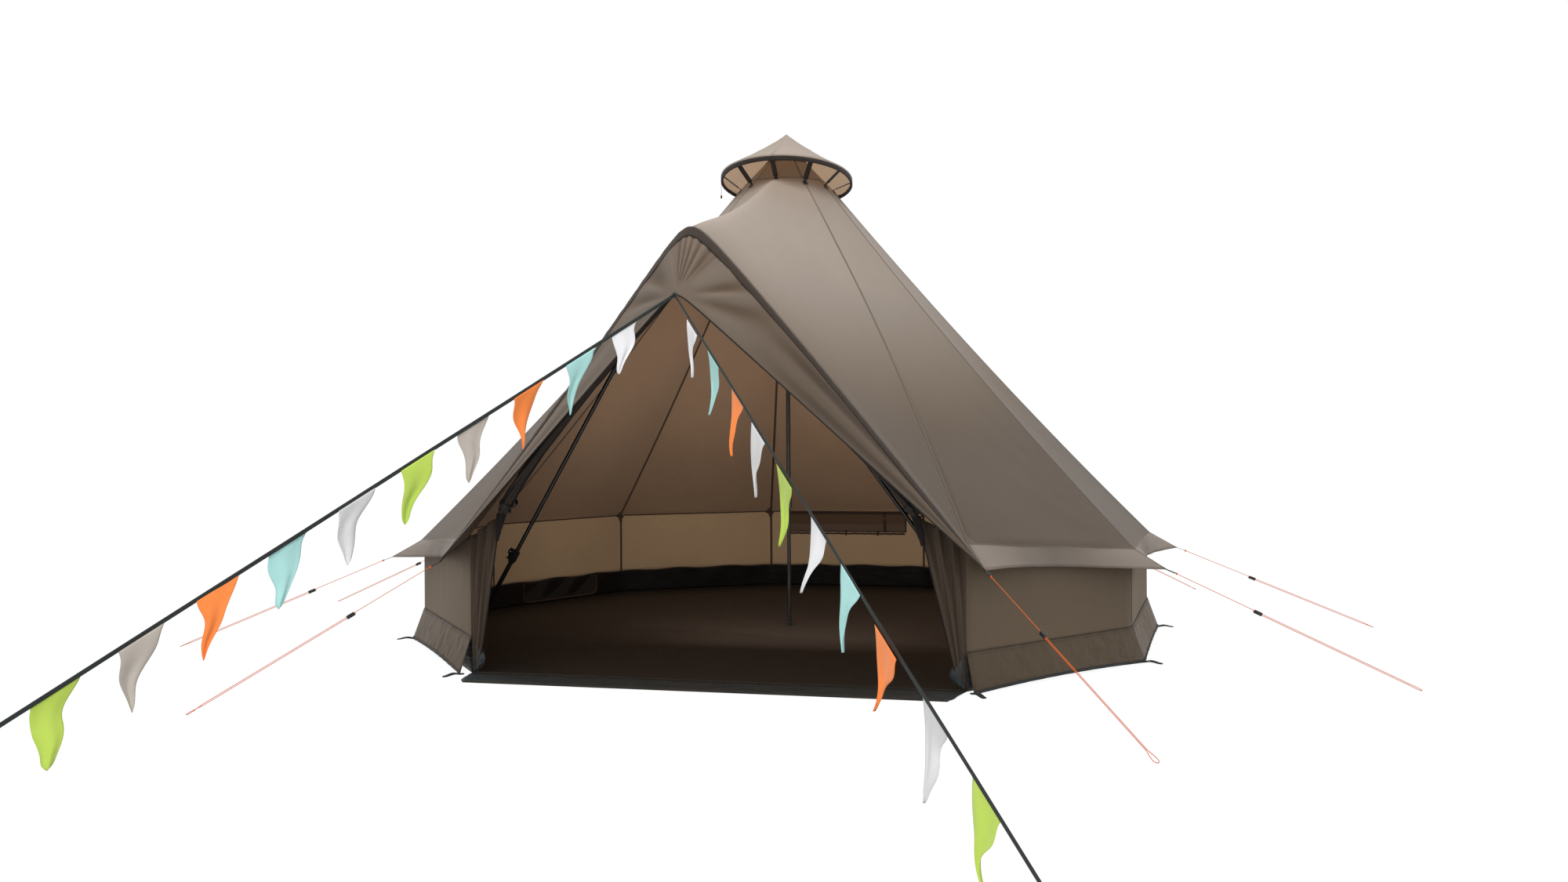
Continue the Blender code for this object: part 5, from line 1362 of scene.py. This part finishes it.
under_rim = UP * (CAP_RIM_HEIGHT - CAP_LIP - GAP)
pull_top = tilted(toward(radians(-77)) * (CAP_RADIUS - 0.00125) + under_rim)
pull_path = between([pull_top, pull_top - UP * 0.085], 0.01)
pull = as_piece("pull_cord", [tube(pull_path, 0.001, 8)], [pull_cord])
dress(pull, "tent", "plastic", "cap_pull_cord")
TOGGLE_SECTION = ((0.0018, 0.010), (0.0042, 0.0088), (0.005, 0.006), (0.0046, 0.0),
                  (0.005, -0.006), (0.0042, -0.0088), (0.0012, -0.0098))
sides = [2 * pi * i / 20 for i in range(20)]
toggle_rings = [[pull_path[-1] + Vector((r * cos(t), r * sin(t), z)) for t in sides]
                for r, z in TOGGLE_SECTION]
toggle = as_piece("pull_toggle", [swept(toggle_rings)], [black_plastic])
dress(toggle, "tent", "plastic")
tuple(pull_path[0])
print("cap", round(cap["cut"][2], 2), "square metres of cloth")

# %% [markdown]
# ## Poles, clamps and levers
#
# The hard parts keep their solids, because the solids are the real shape: tubes that slide in each
# other, clamps with their bores, cam levers on their pins. A bevel takes the edge off the moulded
# ones. The tubes are coated black, with long scratches where they slide. Each lever turns on a
# rivet, whose bright heads are added here at the joint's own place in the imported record.

# %% Finishes for the solids that stay, and rivets at the levers' joints
def coated(name, colour, stretch):
    """Coated steel tube: satin black with fine lengthwise scuffs."""
    f = Finish(name, 0.35)
    scuff = f.noise(30, 4, stretch)
    f.bumps((f.noise(260, 2, stretch), 0.0001))
    shown = f.tone(colour, f.spread(scuff, 0.8, 1.7, 0.35, 0.75))
    return f.done(shown, f.spread(scuff, 0.42, 0.26, 0.3, 0.7))


pole_black = coated("coated_steel", srgb(19, 18, 18), (8, 8, 0.5))
hoop_finish = coated("hoop_steel", srgb(40, 38, 37), (2, 2, 8))
clamp_black = moulded("clamp_plastic", srgb(19, 19, 20), 0.4)


def refinished(name, finish):
    """The solid of that name, which stays, with its own finish."""
    solid = frame["nodes"][name]
    solid.data.materials.clear()
    solid.data.materials.append(finish)
    return solid


leg_tubes = [f"leg_{part}_{side}" for part in ("upper", "lower") for side in ("left", "right")]
for name in ["pole_upper", "pole_lower", "leg_elbow", "cap_hoop"] + leg_tubes:
    mesh = refinished(name, hoop_finish if name == "cap_hoop" else pole_black).data
    mesh.shade_smooth()
    mesh.set_sharp_from_angle(angle=radians(35))
for place in ("pole", "leg_left", "leg_right"):
    for part in ("clamp", "lever"):
        bevel = refinished(f"{place}_{part}", clamp_black).modifiers.new("worn edges", "BEVEL")
        bevel.width, bevel.segments = 0.0009, 2
        bevel.limit_method, bevel.angle_limit = "ANGLE", radians(35)
steel = Finish("rivet_steel", 0.3, 1.0)
scratch = steel.noise(400, 3)
steel.bumps((scratch, 0.0001))
rivet_steel = steel.done(steel.tone(srgb(196, 196, 198), steel.spread(scratch, 0.8, 1.1, 0.3, 0.7)))
DOME = ((0.0002, 0.0015), (0.0018, 0.0013), (0.0030, 0.0007), (0.0035, 0.0), (0.0035, -0.0002))
cam_hinges = [joint for joint in frame["joints"] if joint["name"].endswith("cam_hinge")]
for joint in cam_hinges:
    heads = []
    for way in (1, -1):
        axis = Vector(joint["axis"]) * way
        place = axis_frame(Vector(joint["pos_m"]) + axis * 0.0096, axis, UP)
        heads.append(swept([[place @ Vector((r * cos(t), r * sin(t), z)) for t in sides]
                            for r, z in DOME]))
    dress(as_piece(joint["child"] + "_rivet", heads, [rivet_steel]), joint["parent"], "steel")
print("rivets at", [joint["name"] for joint in cam_hinges])

# %% [markdown]
# ## Webbing tabs at the guy lines
#
# At every tip of the flap a loop of black webbing is sewn on, and the guy line is tied through it
# with a small knot. The loop is one strap bent back on itself, so it has two layers and an eye.

# %% Guy tabs and the knots tied to them
tabs, tied = [], []
for corner in range(PANELS + 1):
    top, ground_end = guy_ends(corner)
    start = tip(corner)
    along = (ground_end - top).normalized()
    level = toward(CORNERS[corner]).cross(UP)
    above = level.cross(along).normalized()
    if above.z < 0:
        above = -above
    bend = TAB_LENGTH - 0.004
    hairpin = [start + along * mix(-0.010, bend, i / 8) + above * mix(-0.0018, 0.0014, i / 8)
               for i in range(9)]
    for i in range(5):
        t = pi * (i + 1) / 6
        hairpin.append(start + along * (bend + 0.0032 * sin(t)) + above * 0.0016 * cos(t))
    hairpin += [start + along * mix(bend, -0.010, i / 8) - above * mix(0.0014, 0.0034, i / 8)
                for i in range(9)]
    tabs.append(flat_strap(hairpin, 0.015, 0.001, lambda i: above if i < 10 else -above))
    tied.append(knot(top + along * 0.004, 0.0062, 0.0014, axis_frame(top, level, along)))
dress(as_piece("guy_tabs", tabs, [webbing]), "tent", "webbing")
dress(as_piece("guy_knots", tied, [guy_cord]), "tent", "guy_cord")
print("tabs", len(tabs))

# %% [markdown]
# ## Bunting
#
# Two webbing tapes run from a knot at the hood's peak to the ground, with ten flags sewn to each.
# A flag hangs from a slanting upper edge, so its free corner swings under one end of the edge and
# both sides curve in. One rule gives the twenty flags. How far each one leans, how far it hangs down
# and how wide its tip is were read from the photograph, flag by flag.

# %% Tapes, their knot and twenty flags
KNOT_RADIUS = 0.014
FLAG_START, FLAG_SPACING = {"left": 0.202, "right": 0.222}, {"left": 0.26, "right": 0.282}
FLAG_WIDTH = 0.15
FLAG_LEANS = {"left": (0, 0, 7, 7, -10, 5, -4, -8, 12, 9),
              "right": (-20, 0, 9, -27, -23, -64, -31, -64, 4, 22)}
FLAG_DROPS = {"left": (170, 205, 205, 195, 205, 200, 195, 205, 205, 205),
              "right": (218, 232, 245, 245, 253, 240, 242, 228, 252, 236)}
FLAG_TIPS = {"left": (16, 6, 4, 16, 20, 20, 24, 6, 10, 30),
             "right": (8, 10, 12, 8, 14, 3, 3, 3, 20, 5)}
FLAG_ROWS, FLAG_COLUMNS = 30, 14
BUNTING_GROUND = Vector((1.65, -4.585, 0))
TAPE_WIDTH = 0.014
tie_knot = TIE_POINT + Vector((0, -1, 0)) * (KNOT_RADIUS + 0.0006)

tape = Finish("tape_webbing", 0.75)
across = tape.node("ShaderNodeSeparateXYZ", {0: tape.cloth})
HALF_ROUND, RIB_PITCH = 0.0152, 0.003
fold = tape.math("PINGPONG", across.outputs[0], HALF_ROUND)
edge = tape.math("ABSOLUTE", tape.math("SUBTRACT", fold, HALF_ROUND / 2))
ribs = tape.math("SINE", tape.math("MULTIPLY", across.outputs[1], 2 * pi / RIB_PITCH))
tape.bumps((ribs, 0.0002))
wear = tape.spread(tape.noise(14, 3), -0.12, 0.12, 0.3, 0.7)
shade = tape.math("ADD", tape.spread(edge, 0.85, 1.5, 0.0048, 0.0062), wear)
shade = tape.math("ADD", shade, tape.spread(ribs, -0.08, 0.08, -1, 1))
tape_webbing = tape.done(tape.tone(srgb(80, 87, 86), shade))


def flag_finish(name, colour):
    """Thin nylon that daylight shines through, with a fine weave, wrinkles and a folded hem."""
    f = Finish(name, 0.6, sheen=0.2)
    place = f.node("ShaderNodeSeparateXYZ", {0: f.cloth})
    threads = [f.math("MULTIPLY", place.outputs[i], 2 * pi / 0.0012) for i in (0, 1)]
    weave = f.math("MULTIPLY", *[f.math("SINE", turns) for turns in threads])
    rim_distance = f.node("ShaderNodeAttribute", attribute_name="seam").outputs["Fac"]
    hem_share = f.spread(rim_distance, 1, 0, 0.0035, 0.0045)
    f.bumps((weave, 0.00003), (f.noise(26, 3), 0.0012), (hem_share, 0.0004))
    cloud = f.spread(f.noise(12, 3), 0.93, 1.05, 0.3, 0.7)
    level = f.math("ADD", cloud, f.math("MULTIPLY", hem_share, -0.06))
    # Painted light: each flag glows in its own colour, for the daylight that shines through the thin
    # nylon.
    f.shader.inputs["Emission Color"].default_value = colour
    f.shader.inputs["Emission Strength"].default_value = 0.3
    return f.done(f.tone(colour, level))


FLAG_COLOURS = {"white": srgb(238, 238, 240), "aqua": srgb(168, 216, 212), "orange": srgb(246, 138, 68),
                "taupe": srgb(182, 174, 164), "green": srgb(182, 208, 88), "grey": srgb(214, 214, 214)}
flag_cloths = {name: flag_finish("flag_" + name, colour) for name, colour in FLAG_COLOURS.items()}
flag_order = {"left": "white aqua orange taupe green grey aqua orange taupe green".split(),
              "right": "white aqua orange grey green white aqua orange grey green".split()}


def flag_point(start, along, lean, drop, tip_width, curl, t, down):
    """A point of a flag: t from the end on the photo's left to its right, down to the tip."""
    first, last = start, start + along * FLAG_WIDTH
    if last.x < first.x:
        first, last = last, first
    level = (Vector((last.x, last.y, 0)) - Vector((first.x, first.y, 0))).normalized()
    normal = level.cross(UP)
    hangs = mix(first, last, 0.22)
    shrink = (1 - down) ** 1.3 * (1 + 0.2 * sin(7.5 * down + curl * 1.7) * sin(pi * down))
    point = hangs + (mix(first, last, t) - hangs) * shrink - UP * drop * down
    round_end = sqrt(max(0, 1 - ease(0.86, 1, down) ** 2)) * 0.9 + 0.1
    point += level * (t - 0.5) * tip_width * min(1, down * 2) * round_end
    point += level * (lean * down ** 2.2 + 0.009 * sin(5.5 * down + curl) * sin(pi * down))
    ripple = 0.012 * down * sin(2.4 * pi * t + curl) * (0.35 + 0.65 * (1 - down))
    return point + normal * (ripple + 0.010 * sin(pi * down * 1.3 + curl))


for name, side in (("right", 1), ("left", -1)):
    ground_end = mirrored(BUNTING_GROUND, side) + UP * TAPE_WIDTH / 2
    along = (ground_end - tie_knot).normalized()
    top = tie_knot + along * (KNOT_RADIUS + 0.0006)
    normal = along.cross(UP).normalized()
    lie = normal.cross(along).normalized()
    route = between([top, ground_end], 0.05)
    twist = [normal * 0.0012 * sin(i * 0.31) * sin(pi * i / len(route)) for i in range(len(route))]
    strap = flat_strap([p + w for p, w in zip(route, twist)], TAPE_WIDTH, 0.0016, normal)
    line = as_piece(f"bunting_tape_{name}", [strap], [tape_webbing])
    dress(line, "tent", "tape", f"bunting_line_{name}")
    back_of_tape = normal * (0.0022 if side > 0 else -0.0022)
    thread_lift = back_of_tape.normalized() * -0.0032
    flag_stitches = []
    for number, colour in enumerate(flag_order[name]):
        reach = FLAG_START[name] + FLAG_SPACING[name] * number
        start = top + along * reach - lie * 0.003 + back_of_tape
        lean, drop, tip_width = (table[name][number] / 1000 for table in
                                 (FLAG_LEANS, FLAG_DROPS, FLAG_TIPS))
        curl = number * 1.9 + side
        rows = [[flag_point(start, along, lean, drop, tip_width, curl, i / FLAG_COLUMNS, j / FLAG_ROWS)
                 for i in range(FLAG_COLUMNS + 1)] for j in range(FLAG_ROWS + 1)]
        rims = [[min((p - row[0]).length, (p - row[-1]).length, (FLAG_ROWS - j) / FLAG_ROWS * drop)
                 for p in row] for j, row in enumerate(rows)]
        flag = cloth_sheet(f"flag_{name}_{number + 1}", rows, [flag_cloths[colour]] * 3, 0.0005,
                           Vector((0, 0, 0)), rims)
        dress(flag, "tent", "tape")
        flag_stitches.append([start + along * FLAG_WIDTH * i / 20 + thread_lift + lie * 0.001
                              for i in range(21)])
    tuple(route[0])
    path_length(route)
    sewn(f"bunting_stitches_{name}", flag_stitches, taupe_thread, "tent", "tape", 0.006, 0.004,
         0.0004)

turns = [2 * pi * i / 40 for i in range(40)]
BANDS = ((0.2, 0.0, 0.0100), (1.1, 0.7, 0.0098), (1.5, 2.2, 0.0103), (0.7, 3.9, 0.0094))
bands = []
for number, (tilt, spin, radius) in enumerate(BANDS):
    turn = Matrix.Rotation(spin, 3, "Z") @ Matrix.Rotation(tilt, 3, "X")
    ring = [tie_knot + turn @ Vector((radius * cos(t), radius * sin(t), 0.002 * sin(2 * t + number)))
            for t in turns]
    bands.append(tube(ring, 0.0036, 8, closed=True, squeeze=0.45))
for way in (Vector((0.6, -0.5, -0.65)), Vector((-0.75, -0.3, -0.6))):
    tail = [tie_knot + way.normalized() * 0.026 * i / 6 + Vector((0, 0, -0.004 * (i / 6) ** 2))
            for i in range(7)]
    bands.append(flat_strap(tail, 0.008, 0.0012, Vector((0, -1, 0.2))))
dress(as_piece("bunting_knot", bands, [tape_webbing]), "tent", "tape", "tie_knot")
print("flags", sum(len(v) for v in flag_order.values()))

# %% [markdown]
# ## The doors
#
# Each door leaf is rolled up along the hem from the peak and tied back at the corner. Below the tie
# it hangs in upright folds. A roll isn't a bar: the cloth is wound, so its section is a spiral that
# turns along its length, and it is slacker between the ties. The net leaf is a second, thinner roll
# behind it. A black webbing strap with a toggle holds both.

# %% The line of the rolls, and a wound roll
TIE_BACK = Vector((0.96033, -1.80022, 0.765))
ROLL_RADIUS, NET_ROLL_RADIUS = 0.027, 0.017
ROLL_INSET, ROLL_RISE = 0.062, 0.030
ROLL_WAY = (TIE_BACK - TIE_POINT).normalized()
NET_SPACING = ROLL_RADIUS + NET_ROLL_RADIUS + 0.0006


def roll_frame(share):
    """Frame on the roll's line, from near the tie point, share 0, to the tie-back, 1."""
    x = mix(ROLL_INSET, TIE_BACK.x - ROLL_INSET, share)
    along_hem = hem(x) + Vector((0, ROLL_INSET, ROLL_RISE))
    return axis_frame(mix(along_hem, TIE_BACK, share ** 4), ROLL_WAY, Vector((0, 1, 0)))


def wound_roll(radius, spacing, side, lobes, twist, depth):
    """A wound cloth roll along roll_frame: lobes of cloth that twist along it, with one free edge."""
    sections = []
    for i in range(97):
        share = i / 96
        place = roll_frame(share)
        size = mix(0.5, 1, share)
        slack = 1 - 0.05 * (1 + sin(share * 19 + spacing * 80)) / 2
        ring = []
        for k in range(40):
            t = 2 * pi * k / 40
            wave = sin(lobes * t + twist * share * 2 * pi + 0.8 * sin(share * 23))
            wound = 1 - depth * (0.5 + 0.5 * wave)
            edge = 1 - 0.14 * exp(-(((t - 1.2 - 0.7 * sin(share * 4)) % (2 * pi)) / 0.22) ** 2)
            wrinkle = 0.02 * sin(share * 150 + 2 * sin(t)) * sin(share * 37)
            r = radius * slack * (wound * edge + wrinkle * 0.6 - 0.02)
            ring.append(mirrored(place @ (Vector((r * cos(t) + spacing, r * sin(t), 0)) * size), side))
        sections.append(ring)
    return swept(sections)


door_cloth = cloth("door_cloth", srgb(62, 51, 43), 0.75, 0.1, crease=0.004, crumple=0.003)
curtain_cloth = cloth("curtain_cloth", srgb(122, 105, 89), 0.75, 0.1, crease=0.004, crumple=0.002)
door_lining = cloth("door_lining", srgb(92, 76, 63), 0.8)
net_cloth = netting("door_netting", srgb(36, 30, 27), 0.0016)

# %% Rolls, curtains and ties
CURTAIN_ROWS, CURTAIN_COLUMNS = 40, 60
TAIL_ROWS, TAIL_SHARE = 24, 0.17
STRAP_SECTION = ((-1, 0), (-0.9, 0.0014), (0.9, 0.0014), (1, 0), (0.9, -0.0006), (-0.9, -0.0006))


def curtain_point(across, rise):
    """A point of the curtain below the tie: across from corner seam to free edge, foot to tie."""
    corner = plan(0, WALL_RADIUS - 0.0045, 0.0045)
    corner_top = Vector((corner.x, corner.y, TIE_BACK.z - 0.115))
    foot = corner - Vector((0.03, 0, 0))
    square = (TIE_BACK - corner).cross(UP).normalized()
    point = mix(mix(corner, corner_top, rise), mix(foot, TIE_BACK, rise), across)
    depth = 0.012 * mix(0.35, 1, rise)
    folds = sin(across * 2 * pi * 3 + 0.5 * sin(rise * 5))
    folds += 0.35 * sin(across * 2 * pi * 7.3 + rise * 4)
    return point + square * (depth * folds * min(1, 6 * across + 0.2) - 0.004 * sin(pi * rise))


for name, side in (("right", 1), ("left", -1)):
    leaf_shell = wound_roll(ROLL_RADIUS, 0, side, 5, 3.2, 0.22)
    leaf_roll = as_piece(f"door_roll_{name}", [leaf_shell], [door_cloth], 60)
    dress(leaf_roll, "tent", "door", f"door_{name}")
    rows = [[mirrored(curtain_point(i / CURTAIN_COLUMNS, 1 - j / CURTAIN_ROWS), side)
             for i in range(CURTAIN_COLUMNS + 1)] for j in range(CURTAIN_ROWS + 1)]
    rims = [[(CURTAIN_COLUMNS - i) / CURTAIN_COLUMNS * 0.2 for i in range(CURTAIN_COLUMNS + 1)]
            for _ in rows]
    hanging = cloth_sheet(f"door_curtain_{name}", rows, [curtain_cloth, door_lining, hem_cloth], 0.0012,
                          Vector((side * 0.6, -1.2, 0.3)), rims)
    dress(hanging, "tent", "door")
    edge_path = [mirrored(curtain_point(1, j / CURTAIN_ROWS), side) for j in range(CURTAIN_ROWS + 1)]
    edge = as_piece(f"door_edge_{name}", [tube(edge_path, 0.0032, 8)], [net_cloth])
    dress(edge, "tent", "door")
    tail_line = [curtain_point(1.0, 1 - TAIL_SHARE * i / TAIL_ROWS) for i in range(TAIL_ROWS + 1)]
    around = [2 * pi * k / 28 for k in range(28)]
    tail = []
    for i, point in enumerate(tail_line):
        middle = point + Vector((-0.004, -0.008, 0))
        reach = mix(0.024, 0.009, (i / TAIL_ROWS) ** 1.5)
        folded = [reach * (1 - 0.3 * (0.5 + 0.5 * sin(4 * t + i * 0.16))) for t in around]
        ring = [middle + Vector((r * cos(t), 0.6 * r * sin(t), 0.003 * sin(2 * t + i)))
                for r, t in zip(folded, around)]
        tail.append([mirrored(p, side) for p in ring])
    net_tail = as_piece(f"door_net_tail_{name}", [swept(tail)], [net_cloth], 60)
    dress(net_tail, "tent", "net")
    tail_length = path_length(tail_line)
    net_shell = wound_roll(NET_ROLL_RADIUS, NET_SPACING, side, 4, -4.1, 0.26)
    net_roll = as_piece(f"door_net_roll_{name}", [net_shell], [net_cloth], 60)
    dress(net_roll, "tent", "net", f"door_net_{name}")
    length = path_length([roll_frame(i / 20).translation for i in range(21)])

    place = roll_frame(15 / 16)
    band = []
    for i in range(49):
        t = 2 * pi * i / 48
        reach = ROLL_RADIUS * 0.97 + 0.0014
        shift = NET_SPACING * 0.97 * ease(-0.25, 0.25, cos(t))
        band.append(Vector((reach * cos(t) + shift, reach * sin(t), 0.0015 * sin(3 * t))))
    band = [mirrored(place @ p, side) for p in band[:-1]]
    centre = mirrored(place @ Vector((NET_SPACING / 2, 0, 0)), side)
    strap = []
    for i, point in enumerate(band):
        before, after = band[i - 1], band[(i + 1) % len(band)]
        along = (after - before).normalized()
        out = point - centre
        out = (out - along * out.dot(along)).normalized()
        wide = along.cross(out)
        strap.append([point + wide * x * 0.011 + out * y for x, y in STRAP_SECTION])
    shells = [swept(strap, closed=True)]
    pin = place.to_3x3() @ Vector((0, 0, 1))
    at = place @ Vector((-ROLL_RADIUS * 0.97 - 0.005, 0, 0))
    toggle_line = [mirrored(at + pin * z, side)
                   for z in (-0.017, -0.015, -0.006, 0.0, 0.006, 0.015, 0.017)]
    shells.append(tube(toggle_line, 0.0042, 12))
    tie = as_piece(f"door_strap_{name}", shells, [webbing])
    dress(tie, "tent", "webbing", f"door_tie_{name}")
print("door rolls", round(length, 2), "m long")

# %% [markdown]
# ## The pocket
#
# A cable can enter under a flap low in the left wall. The flap turns on its upper edge, so all that
# is on it rides with its own body: the cloth and the brown piping round it. What it covers stays
# with the tent.

# %% The pocket's flap with its piping
hinge = next(j for j in frame["joints"] if j["name"] == "pocket_flap_hinge")
middle = toward((CORNERS[6] + CORNERS[7]) / 2)
POCKET_WIDTH, POCKET_HEIGHT, POCKET_CORNER = 0.67, 0.135, 0.05
flap_place = axis_frame(Vector(hinge["pos_m"]), UP, middle.cross(UP))


def pocket_outline(inset, steps=8):
    """Left upper corner down and round to the right upper corner, inset from the cut edge."""
    half, low, r = POCKET_WIDTH / 2 - inset, -POCKET_HEIGHT + inset, POCKET_CORNER - inset
    sweep = [pi / 2 * i / steps for i in range(steps + 1)]
    left = [(-half, 0)] + [(-half + r - r * cos(t), low + r - r * sin(t)) for t in sweep]
    return left + [(-x, z) for x, z in left[::-1]]


pocket_finish = cloth("pocket_cloth", srgb(24, 22, 21), 0.75, crumple=0.0008)
rows = []
for j in range(9):
    rows.append([flap_place @ Vector((x, 0.0014 + 0.0008 * sin(x * 31) * j / 8, z * j / 8))
                 for x, z in pocket_outline(0.003)])
flap = cloth_sheet("pocket_cloth", rows, [pocket_finish] * 3, 0.0012, Vector((-2.5, 1.2, 0.1)))
dress(flap, "pocket", "skirt", "pocket_flap")
piping_red = cloth("piping_red", srgb(112, 66, 48), 0.7, thread=0.0016)
trim = [flap_place @ Vector((x, 0.0015, z)) for x, z in pocket_outline(0.0022, 12)]
piping = as_piece("pocket_piping", [tube(between(trim, 0.02), 0.0014, 8)], [piping_red])
dress(piping, "pocket", "skirt")
print("pocket flap", POCKET_WIDTH, "m wide")

# %% [markdown]
# ## The studio
#
# The photograph's background is pure white. More light would bleach the pale cloth, so the white is
# given only to rays that come straight from the camera or by a mirror: the world shows them white
# and lights everything else with a softer grey. The floor does the same, but lets the tent's own
# shadow darken it. One soft lamp above the doorway stands for the bright sky, two inside the tent
# stand for the daylight that comes through its cloth, and one far in front lights only the flags.

# %% Ground, lamps and sky
GROUND_HALF = 60
CORNER_SIGNS = ((-1, -1), (1, -1), (1, 1), (-1, 1))
ground_mesh = bpy.data.meshes.new("studio_ground")
ground_mesh.from_pydata([(x * GROUND_HALF, y * GROUND_HALF, -0.002) for x, y in CORNER_SIGNS],
                        [], [(0, 1, 2, 3)])
ground = bpy.data.objects.new("studio_ground", ground_mesh)
bpy.context.scene.collection.objects.link(ground)
white = Finish("studio_white", 1.0)
ray = white.node("ShaderNodeLightPath")
seen = white.math("MAXIMUM", ray.outputs["Is Camera Ray"], ray.outputs["Is Glossy Ray"])
shade = white.spread(seen, 0.22, 0.9)
grey = white.node("ShaderNodeCombineColor", {0: shade, 1: shade, 2: shade}).outputs[0]
lit = white.node("ShaderNodeBsdfDiffuse", {0: grey})
bright = white.node("ShaderNodeEmission", {0: (1, 1, 1, 1), 1: 1.3})
share = white.math("MULTIPLY", seen, 0.72)
both = white.node("ShaderNodeMixShader", {0: share, 1: lit.outputs[0], 2: bright.outputs[0]})
white.tree.links.new(both.outputs[0], white.tree.nodes["Material Output"].inputs["Surface"])
ground_mesh.materials.append(white.made)

world = bpy.data.worlds.new("studio_sky")
world.use_nodes = True
bpy.context.scene.world = world
nodes, links = world.node_tree.nodes, world.node_tree.links
sky = nodes["Background"]
ray = nodes.new("ShaderNodeLightPath")
either = nodes.new("ShaderNodeMath")
either.operation = "MAXIMUM"
links.new(ray.outputs["Is Camera Ray"], either.inputs[0])
links.new(ray.outputs["Is Glossy Ray"], either.inputs[1])
strength = nodes.new("ShaderNodeMapRange")
strength.inputs["To Min"].default_value = 0.36
strength.inputs["To Max"].default_value = 1.0
links.new(either.outputs[0], strength.inputs["Value"])
links.new(strength.outputs[0], sky.inputs["Strength"])
sky.inputs["Color"].default_value = (1, 1, 1, 1)


def lamp(name, place, aim, size, power, colour=(1, 1, 1)):
    """A square soft lamp at place that looks at aim and isn't seen itself."""
    light = bpy.data.lights.new(name, "AREA")
    light.size, light.energy, light.color = size, power, colour
    held = bpy.data.objects.new(name, light)
    bpy.context.scene.collection.objects.link(held)
    held.visible_camera = held.visible_glossy = False
    turn = (Vector(aim) - Vector(place)).to_track_quat("-Z", "Y").to_matrix().to_4x4()
    held.matrix_world = Matrix.Translation(place) @ turn
    return held


lamp("key", (0.4, -1.9, 4.6), (0.1, -0.9, 2.0), 2.0, 52, (1.0, 0.985, 0.96))
lamp("through_the_roof", (0, -0.6, 0.25), (0.35, 0.9, 1.5), 2.0, 16, (1.0, 0.95, 0.88))
lamp("through_the_walls", (0.1, -0.7, 0.85), (0.1, 2.0, 0.35), 1.1, 22, (1.0, 0.95, 0.88))
flag_light = lamp("on_the_flags", (0.4, -8.5, 2.6), (0, -3.2, 0.9), 3.0, 200)
lit_by_it = bpy.data.collections.new("lit_by_flag_light")
for piece in bpy.data.objects:
    if piece.name.startswith("flag_"):
        lit_by_it.objects.link(piece)
flag_light.light_linking.receiver_collection = lit_by_it
bpy.context.scene.view_settings.view_transform = "Standard"
